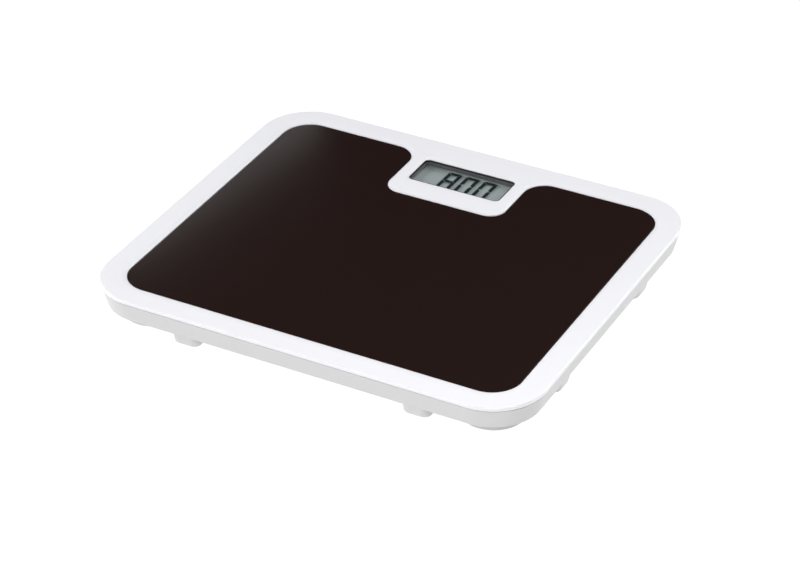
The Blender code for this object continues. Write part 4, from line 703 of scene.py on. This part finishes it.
# Batteries: four AAA cells, nickel-plated steel cans with a nub at one end, each in a shrunk jacket of film
# that folds over both shoulders. The jackets are plain, dark with a light ring by the nub.
BATTERY_RADIUS = 5.25 * MM
BATTERY_TIP = 24.3 * MM
BATTERY_LENGTH = 44.5 * MM
NUB_RADIUS = 1.9 * MM
NUB_LENGTH = 0.9 * MM
BATTERY_Y = (21.5 * MM, 32.5 * MM, 43.5 * MM, 54.5 * MM)
BATTERY_Z = 17.35 * MM
JACKET = 0.12 * MM
JACKET_INSET = 0.15 * MM
JACKET_FOLD = 0.3 * MM
RING_WIDTH = 8.0 * MM
JACKET_DARK = (0.035, 0.055, 0.085)
JACKET_LIGHT = (0.52, 0.54, 0.56)
NICKEL_GREY = (0.70, 0.68, 0.62)


def battery_can(bm):
    shoulder = BATTERY_TIP - NUB_LENGTH
    back = BATTERY_TIP - BATTERY_LENGTH
    body = BATTERY_RADIUS - JACKET
    corners = [
        (0.0, back),
        (body, back, 0.5 * MM),
        (body, shoulder, 0.5 * MM),
        (NUB_RADIUS, shoulder, 0.2 * MM),
        (NUB_RADIUS, BATTERY_TIP, 0.3 * MM),
        (0.0, BATTERY_TIP),
    ]
    add_turned(bm, eased(corners), 48)


def battery_jacket(bm):
    low = BATTERY_TIP - BATTERY_LENGTH + JACKET_INSET
    high = BATTERY_TIP - NUB_LENGTH - JACKET_INSET
    inner = BATTERY_RADIUS - 3 * JACKET
    corners = [
        (inner, low),
        (BATTERY_RADIUS, low, 0.5 * MM),
        (BATTERY_RADIUS, high, 0.5 * MM),
        (inner, high),
        (inner - JACKET, high - JACKET_FOLD),
        (inner - JACKET, low + JACKET_FOLD),
    ]
    add_turned(bm, eased(corners), 48, closed=True)


nickel = ground("nickel", NICKEL_GREY, 0.24, (1.0, 0.1, 0.1), 0.06)
for index, y in enumerate(BATTERY_Y):
    sign = 1 if index % 2 == 0 else -1
    jacket_paint = Paint(f"battery_jacket_{index + 1}", coat_weight=0.4, coat_roughness=0.1)
    reach = sign * jacket_paint.along(0)
    ring = reach > BATTERY_TIP - RING_WIDTH
    fleck = jacket_paint.noise(0.4 * MM, 2.0)
    jacket_print = jacket_paint.coat(
        base_color=jacket_paint.mix(ring, JACKET_DARK, JACKET_LIGHT),
        metallic=0.35 - fleck * 0.1,
        roughness=0.26 + fleck * 0.1,
    )
    for form, name, finish, nodes in (
        (battery_can, "can", nickel, [f"battery_{index + 1}"]),
        (battery_jacket, "jacket", jacket_print, []),
    ):

        def laid(bm, form=form, sign=sign, y=y):
            form(bm)
            lay_along_x(bm, 0, sign, y, BATTERY_Z)

        dressed(solid(f"battery_{name}_{index + 1}", laid), finish, "case", nodes)

# Contacts and wires: stamped plates in nickel-plated spring steel, pressed into the bay's end walls, dimpled
# for a nub and wound into a spring for a flat end. Two stranded wires run from the end plates to the board.
WIRE_RED = (0.45, 0.02, 0.02)
WIRE_BLACK = (0.012, 0.012, 0.012)

finished(nickel, "contact_positive", "contact_negative", *(f"contact_bridge_{i}" for i in (1, 2, 3)))
finished(sleeved("wire_red", WIRE_RED), "battery_wire_red")
finished(sleeved("wire_black", WIRE_BLACK), "battery_wire_black")

# Battery door: the base's white ABS, a flat plate with grip grooves outside, two hooks that swing over the
# base's floor at the front and a latch wall that snaps against the back of the opening.
DOOR_HALF = 26.7 * MM
DOOR_Y = (13.8 * MM, 60.2 * MM)
DOOR_TOP = 11.6 * MM
DOOR_EDGE = 0.3 * MM
HOOK_X = 15.0 * MM
HOOK_HALF = 3.0 * MM
HOOK_THICK = 1.5 * MM
HOOK_REACH = 2.5 * MM
HOOK_LOW = 12.3 * MM
HOOK_TOP = 13.8 * MM
LATCH_HALF = 6.0 * MM
LATCH_INSET = 0.2 * MM
LATCH_THICK = 1.3 * MM
LATCH_RISE = 2.0 * MM
GRIP_COUNT = 5
GRIP_HALF = 9.0 * MM
GRIP_PITCH = 2.0 * MM
GRIP_WIDTH = 0.5 * MM
GRIP_DEPTH = 0.35 * MM
GRIP_START = 4.0 * MM


def door_plate(bm):
    add_box(bm, (-DOOR_HALF, DOOR_Y[0], BASE_UNDER), (DOOR_HALF, DOOR_Y[1], DOOR_TOP), DOOR_EDGE)


def door_hooks(bm):
    front, root = DOOR_Y[0], DOOR_TOP - EMBED
    for middle in (-HOOK_X, HOOK_X):
        section = [
            (0.0, root),
            (HOOK_THICK, root),
            (HOOK_THICK, HOOK_TOP),
            (-HOOK_REACH, HOOK_TOP),
            (-HOOK_REACH, HOOK_LOW),
            (0.0, HOOK_LOW),
        ]
        left = [bm.verts.new((middle - HOOK_HALF, front + y, z)) for y, z in section]
        right = [bm.verts.new((middle + HOOK_HALF, front + y, z)) for y, z in section]
        bm.faces.new(list(reversed(left)))
        bm.faces.new(right)
        for i in range(len(section)):
            j = (i + 1) % len(section)
            bm.faces.new((left[i], left[j], right[j], right[i]))
    back = DOOR_Y[1] - LATCH_INSET
    low = (-LATCH_HALF, back - LATCH_THICK, root)
    add_box(bm, low, (LATCH_HALF, back, DOOR_TOP + LATCH_RISE), 0.2 * MM)


def door_grips(bm):
    for i in range(GRIP_COUNT):
        y = DOOR_Y[1] - GRIP_START - i * GRIP_PITCH
        outline = rounded(GRIP_HALF, GRIP_WIDTH, GRIP_WIDTH * 0.99, 5, (0.0, y))
        tip = rounded(GRIP_HALF - GRIP_WIDTH / 2, GRIP_WIDTH / 2, GRIP_WIDTH / 2 * 0.99, 5, (0.0, y))
        end = BASE_UNDER + GRIP_DEPTH
        add_stack(bm, [(outline, BASE_UNDER - OVERRUN), (outline, BASE_UNDER), (tip, end)])


door = solid("battery_door_moulding", door_plate)
worked(door, "UNION", door_hooks)
worked(door, "DIFFERENCE", door_grips)
dressed(door, base_plastic, "door", ["battery_door"])

# Main board: glass-fibre board in green solder mask with its copper tracks showing through, hung under the
# island by four small screws. Under it sit the controller in an epoxy cap, a capacitor, the crystal and the
# unit switch.
BOARD_GREEN = (0.012, 0.12, 0.045)
TRACK_GREEN = (0.03, 0.22, 0.08)
EPOXY_BLACK = (0.008, 0.008, 0.009)
CAN_GREY = (0.60, 0.60, 0.62)
CRYSTAL_GREY = (0.65, 0.65, 0.66)
SWITCH_BLACK = (0.02, 0.02, 0.02)
PLUNGER_GREY = (0.30, 0.30, 0.30)
BOARD_SCREW_PLACES = [(sx * 40.0 * MM, 79.0 * MM) for sx in (-1, 1)]
BOARD_SCREW_PLACES += [(sx * 45.6 * MM, 125.2 * MM) for sx in (-1, 1)]
TRACK_PITCH = 1.3 * MM
BOARD_SCREW = (2.2 * MM, 1.3 * MM, 0.8 * MM, 6.0 * MM, 18.7 * MM)

board_paint = Paint("board_green", coat_weight=0.5, coat_roughness=0.12)
field = board_paint.noise(14 * MM, 0.0)
tracks = board_paint.bands(TRACK_PITCH, "X") * (field > 0.52)
tracks += board_paint.bands(TRACK_PITCH, "Y") * (field < 0.45)
copper = tracks > 0.62
weave = board_paint.noise(0.5 * MM, 1.0)
board_mask = board_paint.coat(
    base_color=board_paint.mix(copper * 0.85 + weave * 0.15, BOARD_GREEN, TRACK_GREEN),
    roughness=0.34 + weave * 0.1,
    normal=board_paint.bump(copper, 0.02 * MM),
)
finished(board_mask, "main_board")
finished(moulded("epoxy_black", EPOXY_BLACK, 0.22, 2.5 * MM, 0.06 * MM, 0.2), "controller_chip")
finished(ground("can_aluminium", CAN_GREY, 0.3, (0.3, 0.3, 2.0)), "board_capacitor")
finished(ground("crystal_steel", CRYSTAL_GREY, 0.22, (0.2, 1.0, 1.0)), "timing_crystal")
finished(moulded("switch_black", SWITCH_BLACK, 0.45, 0.3 * MM, 0.006 * MM, 0.2), "unit_switch")
finished(moulded("plunger_grey", PLUNGER_GREY, 0.45, 0.3 * MM, 0.004 * MM, 0.05), "switch_plunger")
driven("board_screw", BOARD_SCREW, BOARD_SCREW_PLACES)

# Unit button: a grey ABS button with a dished cap, dropped into the base's guide from inside. Its flange
# keeps it in, and its stem presses the switch's plunger.
BUTTON_GREY = (0.35, 0.36, 0.38)
BUTTON_LOW = 10.4 * MM
BUTTON_RADIUS = 4.0 * MM
BUTTON_DISH = 0.35 * MM
BUTTON_RIM = 0.6 * MM
BUTTON_FLANGE = 1.6 * MM
BUTTON_FLANGE_Z = (12.3 * MM, 13.3 * MM)
STEM_RADIUS = 1.5 * MM
STEM_TOP = 13.9 * MM


def button_body(bm):
    flange, (low, high) = BUTTON_RADIUS + BUTTON_FLANGE, BUTTON_FLANGE_Z
    corners = [
        (0.0, BUTTON_LOW + BUTTON_DISH),
        (BUTTON_RADIUS * 0.35, BUTTON_LOW + BUTTON_DISH * 0.9),
        (BUTTON_RADIUS * 0.65, BUTTON_LOW + BUTTON_DISH * 0.5),
        (BUTTON_RADIUS - BUTTON_RIM, BUTTON_LOW),
        (BUTTON_RADIUS, BUTTON_LOW, 0.3 * MM),
        (BUTTON_RADIUS, low),
        (flange, low, 0.2 * MM),
        (flange, high, 0.2 * MM),
        (STEM_RADIUS, high, 0.3 * MM),
        (STEM_RADIUS, STEM_TOP, 0.2 * MM),
        (0.0, STEM_TOP),
    ]
    add_turned(bm, eased(corners), 56, BUTTON_PLACE)


button_plastic = moulded("button_grey", BUTTON_GREY, 0.42, 0.35 * MM, 0.005 * MM, 0.04)
dressed(solid("unit_button_moulding", button_body), button_plastic, "button", ["unit_button"])

# Display panel: a pair of clear glass sheets, near-black seven-segment digits in the liquid between them,
# and a matt grey-green reflector under both. A white holder clamps it on two layered elastomer strips to the
# board.
WINDOW_HALF = (38.35 * MM, 16.15 * MM)
WINDOW_RADIUS = 4.2 * MM
WINDOW_Y = 106.95 * MM
LCD_HALF = (40.0 * MM, 18.0 * MM)
LCD_LOW = 23.5 * MM
LCD_FACE = 25.5 * MM
LCD_REFLECTOR = 23.7 * MM
LCD_LAYER = 24.6 * MM
LCD_FINE = 0.04 * MM
LCD_TINT = (0.99, 0.99, 0.99)
DIGIT_SLANT = math.tan(math.radians(1.5))
DIGIT_WIDTH = 11.3 * MM
DIGIT_BAR = 2.85 * MM
DIGIT_SPLIT = 0.3 * MM
DIGIT_TOP = 119.5 * MM
DIGIT_MIDDLE = 107.1 * MM
DIGIT_PLACES = ((-11.3 * MM, "abcdefg"), (3.5 * MM, "abcdef"), (18.6 * MM, "abcdef"))
LCD_PALE = (0.395, 0.452, 0.452)
LCD_DEEP = (0.36, 0.415, 0.415)
DIGIT_BLACK = (0.014, 0.020, 0.022)
HOLDER_WHITE = (0.70, 0.70, 0.70)
STRIP_PINK = (0.60, 0.30, 0.30)
STRIP_CARBON = (0.05, 0.04, 0.04)


def window_line(grow):
    """The window's outline, grown."""
    x, y = WINDOW_HALF
    return rounded(x + grow, y + grow, WINDOW_RADIUS + grow, 12, (0.0, WINDOW_Y))


def lcd_sheet(low, high, ease):
    """Builder of a sheet of the panel."""
    x, y = LCD_HALF
    return lambda bm: add_box(bm, (-x, WINDOW_Y - y, low), (x, WINDOW_Y + y, high), ease)


def digit_bars():
    """Outlines of one digit's mitred bars, about its middle."""
    half, bar, split = DIGIT_WIDTH / 2, DIGIT_BAR, DIGIT_SPLIT
    rise = DIGIT_TOP - DIGIT_MIDDLE
    inner = half - bar
    top = [(split - half, rise), (half - split, rise)]
    top += [(inner - split, rise - bar), (split - inner, rise - bar)]
    tip = half - bar / 2 - split
    middle = [(-tip, 0.0), (split - inner, bar / 2), (inner - split, bar / 2)]
    middle += [(-x, -y) for x, y in middle]
    side = [(half, rise - split), (half, split), (half - bar / 2, split), (inner, bar / 2 + split)]
    side += [(inner, rise - bar - split)]
    bars = {"a": top, "g": middle, "b": side, "f": [(-x, y) for x, y in side]}
    for name, other in {"a": "d", "b": "c", "f": "e"}.items():
        bars[other] = [(x, -y) for x, y in bars[name]]
    return bars


def digits(bm):
    bars = digit_bars()
    for centre, lit in DIGIT_PLACES:
        for name in lit:
            outline = [(centre + x + y * DIGIT_SLANT, DIGIT_MIDDLE + y) for x, y in bars[name]]
            add_stack(bm, [(outline, LCD_LAYER - LCD_FINE), (outline, LCD_LAYER + LCD_FINE)])


def clear_sheet(name, tint, ior):
    """Clear glass or plastic: what lies behind shows, under the gloss of its outer faces."""
    paint = Paint(name)
    clear = paint.node("ShaderNodeBsdfTransparent", None, {"Color": tint})
    gloss = paint.node("ShaderNodeBsdfGlossy", None, {"Roughness": 0.04})
    glance = paint.node("ShaderNodeFresnel", None, {"IOR": ior})
    inside = paint.node("ShaderNodeNewGeometry", output="Backfacing")
    look = paint.node("ShaderNodeMixShader", None, {0: glance * (1.0 - inside), 1: clear, 2: gloss})
    paint.join(paint.tree.nodes["Material Output"].inputs["Surface"], look)
    return paint.material


reflector_paint = Paint("lcd_reflector")
pearl = reflector_paint.noise(18 * MM, 2.0)
lcd_reflector = reflector_paint.coat(
    base_color=reflector_paint.mix(pearl, LCD_DEEP, LCD_PALE),
    roughness=0.5 + pearl * 0.1,
)
reflector = solid("lcd_reflector", lcd_sheet(LCD_LOW, LCD_REFLECTOR, 0.0))
dressed(reflector, lcd_reflector, "case", ["lcd_panel"])
lcd_glass = clear_sheet("lcd_glass", LCD_TINT, 1.15)
glass_pair = solid("lcd_glass_pair", lcd_sheet(LCD_REFLECTOR + LCD_FINE, LCD_FACE, 0.1 * MM))
dressed(glass_pair, lcd_glass, "case")
digit_paint = Paint("digit_black", specular_ior_level=0.1)
digit_haze = digit_paint.noise(4 * MM)
digit_ink = digit_paint.coat(
    base_color=digit_paint.mix(digit_haze, DIGIT_BLACK, shaded(DIGIT_BLACK, 1.4)),
    roughness=0.4 + digit_haze * 0.05,
)
dressed(solid("lcd_digits", digits), digit_ink, "case")
finished(moulded("holder_white", HOLDER_WHITE, 0.45, 0.35 * MM, 0.006 * MM, 0.03), "lcd_holder")
strip_paint = Paint("strip_pink")
layers = strip_paint.bands(0.25 * MM, "X")
strip_rubber = strip_paint.coat(
    base_color=strip_paint.mix(layers > 0.7, STRIP_PINK, STRIP_CARBON),
    roughness=0.6 + layers * 0.1,
)
finished(strip_rubber, "lcd_connector_front", "lcd_connector_back")

# Display bezel and lens: a black moulded frame lines the window, held under the cover by its flange, and a
# clear acrylic lens drops on its ledge. Low down, the frame's inside is painted a lighter grey: painted
# light for the light that comes up it.
BEZEL_WALL = 0.6 * MM
BEZEL_LEDGE = 0.8 * MM
BEZEL_FLANGE = 4.5 * MM
BEZEL_LOW = 25.8 * MM
FLANGE_HIGH = 27.0 * MM
BEZEL_HIGH = 28.6 * MM
LENS_SEAT = 26.8 * MM
LENS_LOW = 27.1 * MM
LENS_HIGH = 28.3 * MM
LENS_EDGE = 0.15 * MM
BEZEL_BLACK = (0.010, 0.010, 0.012)
# Painted light: the lighter grey painted on the frame below the height that follows, for light coming up its
# inside.
BEZEL_PAINTED_LIGHT_GREY = (0.11, 0.11, 0.12)
BEZEL_PAINTED_LIGHT_TOP = 27.4 * MM
LENS_TINT = (0.98, 0.98, 0.98)


def bezel_body(bm):
    outer = [(-GAP, BEZEL_LOW), (-GAP, BEZEL_HIGH, 0.15 * MM), (-GAP - BEZEL_WALL / 2, BEZEL_HIGH)]
    add_stack(bm, [(window_line(grow), z) for grow, z in eased(outer, 3)])


def bezel_flange(bm):
    outline = window_line(BEZEL_FLANGE)
    add_stack(bm, [(outline, BEZEL_LOW), (outline, FLANGE_HIGH)])


def bezel_opening(bm):
    sight = window_line(-GAP - BEZEL_WALL - BEZEL_LEDGE)
    pocket = window_line(-GAP - BEZEL_WALL)
    levels = [(sight, BEZEL_LOW - OVERRUN), (sight, LENS_SEAT)]
    levels += [(pocket, LENS_SEAT), (pocket, BEZEL_HIGH + OVERRUN)]
    add_stack(bm, levels)


def lens_body(bm):
    grow = -GAP - BEZEL_WALL - GAP
    corners = [(grow - MM, LENS_LOW), (grow, LENS_LOW, LENS_EDGE)]
    corners += [(grow, LENS_HIGH, LENS_EDGE), (grow - MM, LENS_HIGH)]
    add_stack(bm, [(window_line(g), z) for g, z in eased(corners, 3)])


bezel = solid("bezel_moulding", bezel_body)
worked(bezel, "UNION", bezel_flange)
worked(bezel, "DIFFERENCE", bezel_opening)
bezel_paint = Paint("bezel_black")
bezel_grain = bezel_paint.noise(0.3 * MM, 3.0)
# The frame is black above a set height and painted lighter grey below it: painted light on its lower inside.
bezel_plastic = bezel_paint.coat(
    base_color=bezel_paint.mix(bezel_paint.along(2) < BEZEL_PAINTED_LIGHT_TOP, BEZEL_BLACK, BEZEL_PAINTED_LIGHT_GREY),
    roughness=0.45 + bezel_grain * 0.06,
    normal=bezel_paint.bump(bezel_grain, 0.004 * MM),
)
dressed(bezel, bezel_plastic, "case", ["display_bezel"])
lens_acrylic = clear_sheet("clear_lens", LENS_TINT, 1.3)
dressed(solid("lens_plate", lens_body), lens_acrylic, "case", ["display_lens"])

# Top cover: one injection moulding in satin white ABS. Its rim is rounded and drops a little to the lip, and
# eases down in a shallow dish to the sunk tray for the mat and to the window. It plugs into the base with a
# tongue.
RIM_TOP = 29.5 * MM
RIM_UNDER = 27.3 * MM
PARTING = 26.3 * MM
LIP_EDGE = 0.7 * MM
CROWN_DROP = 0.3 * MM
CROWN_WIDTH = 10.0 * MM
CROWN_RADIUS = 60.0 * MM
CROWN_FLAT = 3.0 * MM
TRAY_WALL = 2.0 * MM
TRAY_FLOOR = 26.5 * MM
TRAY_UNDER = 24.5 * MM
TONGUE_THICK = 1.3 * MM
TONGUE_LOW = BASE_TOP - 2.2 * MM
DISH_WIDTH = 4.5 * MM
DISH_STEPS = 9
RECESS_TOP = 28.5 * MM
WINDOW_TOP = 28.9 * MM
OPENING_EDGE = 0.12 * MM
MAT_HALF_X = HALF_X - 18.8 * MM
MAT_HALF_Y = HALF_Y - 18.8 * MM
MAT_RADIUS = 23.0 * MM
ISLAND_HALF = 48.9 * MM
ISLAND_FRONT = 70.1 * MM
ISLAND_INNER = 13.0 * MM
ISLAND_OUTER = 18.0 * MM
STAND_RADII = (3.5 * MM, 3.0 * MM, 2.5 * MM)
PLATE_STAND_LOW = 23.2 * MM
BOARD_STAND_LOW = 20.9 * MM
SCREW_PLACES = (CASE_SCREW_PLACES, PLATE_SCREW_PLACES, BOARD_SCREW_PLACES)
CASE_BORE_TOP = 24.8 * MM
PLATE_BORE = (22.2 * MM, 25.9 * MM)
BOARD_BORE = (19.9 * MM, 25.0 * MM)
BOARD_BORE_RADIUS = 1.1 * MM
COVER_WHITE = (0.795, 0.795, 0.827)


def mat_line(grow):
    """The mat's outline with the island's notch, grown."""
    half_x, half_y, radius = MAT_HALF_X + grow, MAT_HALF_Y + grow, MAT_RADIUS + grow
    notch_x, notch_y = ISLAND_HALF - grow, ISLAND_FRONT + grow
    inner, outer = ISLAND_INNER - grow, ISLAND_OUTER + grow
    steps = CORNER_STEPS
    points = arc(half_x - radius, radius - half_y, radius, -90, 0, steps)
    points += arc(half_x - radius, half_y - radius, radius, 0, 90, steps)
    points += arc(notch_x + outer, half_y - outer, outer, 90, 180, steps)
    points += arc(notch_x - inner, notch_y + inner, inner, 0, -90, steps)
    points += arc(inner - notch_x, notch_y + inner, inner, -90, -180, steps)
    points += arc(-notch_x - outer, half_y - outer, outer, 0, 90, steps)
    points += arc(radius - half_x, half_y - radius, radius, 90, 180, steps)
    points += arc(radius - half_x, radius - half_y, radius, 180, 270, steps)
    return points


def dished(outline, grow, low, edge_z):
    """Levels of an opening in the rim, whose edge eases down in a shallow dish."""
    drop = RIM_TOP + HAIR - edge_z
    corners = [(grow, low), (grow, edge_z, OPENING_EDGE)]
    for i in range(1, DISH_STEPS + 1):
        share = i / DISH_STEPS
        corners.append((grow + share * DISH_WIDTH, RIM_TOP + HAIR - drop * (1 - share) ** 2))
    corners.append((grow + DISH_WIDTH, RIM_TOP + OVERRUN))
    return [(outline(g), z) for g, z in eased(corners, 4)]


def cover_body(bm):
    lip = RIM_TOP - CROWN_DROP
    corners = [(1.0 * MM, PARTING), (0.0, PARTING, 0.2 * MM), (0.0, lip, LIP_EDGE)]
    corners += [(CROWN_WIDTH, RIM_TOP, CROWN_RADIUS), (CROWN_WIDTH + CROWN_FLAT, RIM_TOP)]
    add_stack(bm, [(case_line(inset), z) for inset, z in eased(corners, 8)])


def cover_tongue(bm):
    outline = case_line(wall_inset(TONGUE_LOW) + BASE_WALL + GAP)
    add_stack(bm, [(outline, TONGUE_LOW), (outline, PARTING + EMBED)])


def cover_pocket(bm):
    outline = case_line(wall_inset(TONGUE_LOW) + BASE_WALL + GAP + TONGUE_THICK)
    add_stack(bm, [(outline, TONGUE_LOW - OVERRUN), (outline, RIM_UNDER)])


def cover_tray(bm):
    outline = mat_line(GAP + TRAY_WALL)
    add_stack(bm, [(outline, TRAY_UNDER), (outline, RIM_UNDER + EMBED)])


def cover_bosses(bm):
    lows = (BOSS_TOP + GAP, PLATE_STAND_LOW, BOARD_STAND_LOW)
    roots = (RIM_UNDER + EMBED, TRAY_UNDER + EMBED, RIM_UNDER + EMBED)
    for places, low, root, radius in zip(SCREW_PLACES, lows, roots, STAND_RADII):
        for place in places:
            add_turned(bm, peg(low, root, radius), 28, place)


def cover_openings(bm):
    add_stack(bm, dished(mat_line, GAP, TRAY_FLOOR, RECESS_TOP))
    add_stack(bm, dished(window_line, 0.0, RIM_UNDER - OVERRUN, WINDOW_TOP))


def cover_pilots(bm):
    spans = ((BOSS_TOP - OVERRUN, CASE_BORE_TOP), PLATE_BORE, BOARD_BORE)
    radii = (SHANK_HOLE_RADIUS, SHANK_HOLE_RADIUS, BOARD_BORE_RADIUS)
    for places, (low, high), radius in zip(SCREW_PLACES, spans, radii):
        for place in places:
            add_turned(bm, peg(low, high, radius), 20, place)


cover = solid("cover_moulding", cover_body)
worked(cover, "UNION", cover_tongue)
worked(cover, "DIFFERENCE", cover_pocket)
worked(cover, "UNION", cover_tray, cover_bosses)
worked(cover, "DIFFERENCE", cover_openings, cover_pilots)
cover_plastic = moulded("white_cover", COVER_WHITE, 0.34, 0.6 * MM, 0.002 * MM, 0.008)
dressed(cover, cover_plastic, "case", ["top_cover"])

# Tread mat: a die-cut sheet of dark brown-black vinyl with a faint grain and a softly rounded edge, glued
# into the cover's tray a little below the rim.
MAT_UNDER = 26.8 * MM
MAT_TOP = 28.3 * MM
MAT_EDGE = 0.5 * MM
MAT_BROWN = (0.0152, 0.0081, 0.0072)
MAT_BLOOM = (0.0162, 0.0089, 0.0078)


def mat_body(bm):
    corners = [(0.0, MAT_UNDER), (0.0, MAT_TOP, MAT_EDGE), (-4 * MAT_EDGE, MAT_TOP)]
    add_stack(bm, [(mat_line(grow), z) for grow, z in eased(corners)])


mat_paint = Paint("dark_mat", specular_ior_level=0.25)
mat_grain = mat_paint.noise(0.45 * MM, 2.0)
mat_haze = mat_paint.noise(25 * MM, 4.0)
mat_vinyl = mat_paint.coat(
    base_color=mat_paint.mix(mat_haze * 0.5 + mat_grain * 0.5, MAT_BROWN, MAT_BLOOM),
    roughness=0.12 + mat_grain * 0.03 + mat_haze * 0.02,
    normal=mat_paint.bump(mat_grain, 0.002 * MM),
)
dressed(solid("mat_sheet", mat_body), mat_vinyl, "case", ["tread_mat"])

# Case screws: six thread-forming screws in zinc-plated steel, rolled and headed cold. They are driven up
# through the base's bosses into the cover's.
CASE_SCREW = (2.8 * MM, 1.6 * MM, 1.2 * MM, 10.0 * MM, 14.5 * MM)
case_screws = [f"case_screw_{i}" for i in range(1, 7)]
driven("case_screw_turned", CASE_SCREW, CASE_SCREW_PLACES, case_screws)

# Camera: a long lens far off, above the front right corner. Its place and turn line the render up with the
# photograph.
CAMERA = {"focal": 2767.056, "azimuth": 28.598, "elevation": 33.170, "roll": -0.687, "distance": 2.024933}
CAMERA_SHIFT = (-3.649 * MM, 1.079 * MM)
FRAME_WIDTH = 800
SENSOR = 36.0

azimuth, elevation, roll = (math.radians(CAMERA[key]) for key in ("azimuth", "elevation", "roll"))
level = math.cos(elevation)
back = Vector((math.sin(azimuth) * level, -math.cos(azimuth) * level, math.sin(elevation)))
right = Vector((0.0, 0.0, 1.0)).cross(back).normalized()
up = back.cross(right)
right, up = math.cos(roll) * right + math.sin(roll) * up, math.cos(roll) * up - math.sin(roll) * right
camera_data = bpy.data.cameras.new("camera")
camera_data.sensor_width = SENSOR
camera_data.lens = CAMERA["focal"] * SENSOR / FRAME_WIDTH
camera_data.clip_start = 0.05
camera = bpy.data.objects.new("camera", camera_data)
place = back * CAMERA["distance"] - right * CAMERA_SHIFT[0] - up * CAMERA_SHIFT[1]
camera.matrix_world = Matrix.Translation(place) @ Matrix((right, up, back)).transposed().to_4x4()
bpy.context.scene.collection.objects.link(camera)
bpy.context.scene.camera = camera

# Floor and lights: a plain pale floor that glows like a light table, and large soft panels all round. One
# narrow panel behind, at the left, gives the mat its sheen.
FLOOR_HALF = 3.0
FLOOR_CORNER = 0.5
FLOOR_DEPTH = 20.0 * MM
FLOOR_PALE = (0.03, 0.03, 0.03)
LIGHTS = {
    "top_back": (0.68, (1.4, 1.4), (0.25, 0.9, 1.5), (0.0, 0.0, 0.0)),
    "near": (1.64, (0.8, 0.8), (0.45, -0.55, 0.9), (0.1, -0.1, 0.0)),
    "nearer": (2.04, (0.5, 0.5), (0.35, -0.45, 0.55), (0.1, -0.1, 0.0)),
    "front": (2.6, (1.6, 1.0), (-0.5, -1.7, 0.8), (0.0, 0.0, 0.0)),
    "left": (6.5, (1.4, 1.0), (-1.7, -0.3, 0.8), (0.0, 0.0, 0.0)),
    "right": (0.75, (1.4, 1.0), (1.7, 0.1, 0.8), (0.0, 0.0, 0.0)),
    "back_right": (7.4, (1.4, 1.0), (1.0, 1.6, 0.9), (0.0, 0.0, 0.0)),
    "strip": (1.9, (0.33, 0.034), (-0.5, 0.553, 0.3975), (0.0, 0.4965, 0.3975)),
}


def floor_body(bm):
    outline = rounded(FLOOR_HALF, FLOOR_HALF, FLOOR_CORNER, 8)
    add_stack(bm, [(outline, -FLOOR_DEPTH), (outline, 0.0)])


def soft_light(name, glow, size, place, target):
    """A soft panel of an even glow that faces a point."""
    data = bpy.data.lights.new(name, "AREA")
    data.shape = "RECTANGLE"
    data.size, data.size_y = size
    data.energy = glow * math.pi * size[0] * size[1]
    lamp = bpy.data.objects.new(name, data)
    lamp.location = place
    lamp.rotation_euler = (Vector(target) - Vector(place)).to_track_quat("-Z", "Y").to_euler()
    bpy.context.scene.collection.objects.link(lamp)


floor = solid("floor", floor_body)
floor_paint = Paint("pale_floor", roughness=0.8, emission_strength=1.0, emission_color=(1.0, 1.0, 1.0, 1.0))
floor_tone = floor_paint.mix(floor_paint.noise(0.2), FLOOR_PALE, shaded(FLOOR_PALE, 1.02))
floor.data.materials.append(floor_paint.coat(base_color=floor_tone))
world = bpy.data.worlds.new("soft_room")
world.use_nodes = True
world.node_tree.nodes["Background"].inputs["Color"].default_value = (0.0, 0.0, 0.0, 1.0)
bpy.context.scene.world = world
for name, (glow, size, place, target) in LIGHTS.items():
    soft_light(name, glow, size, place, target)
bpy.context.scene.view_settings.view_transform = "Standard"
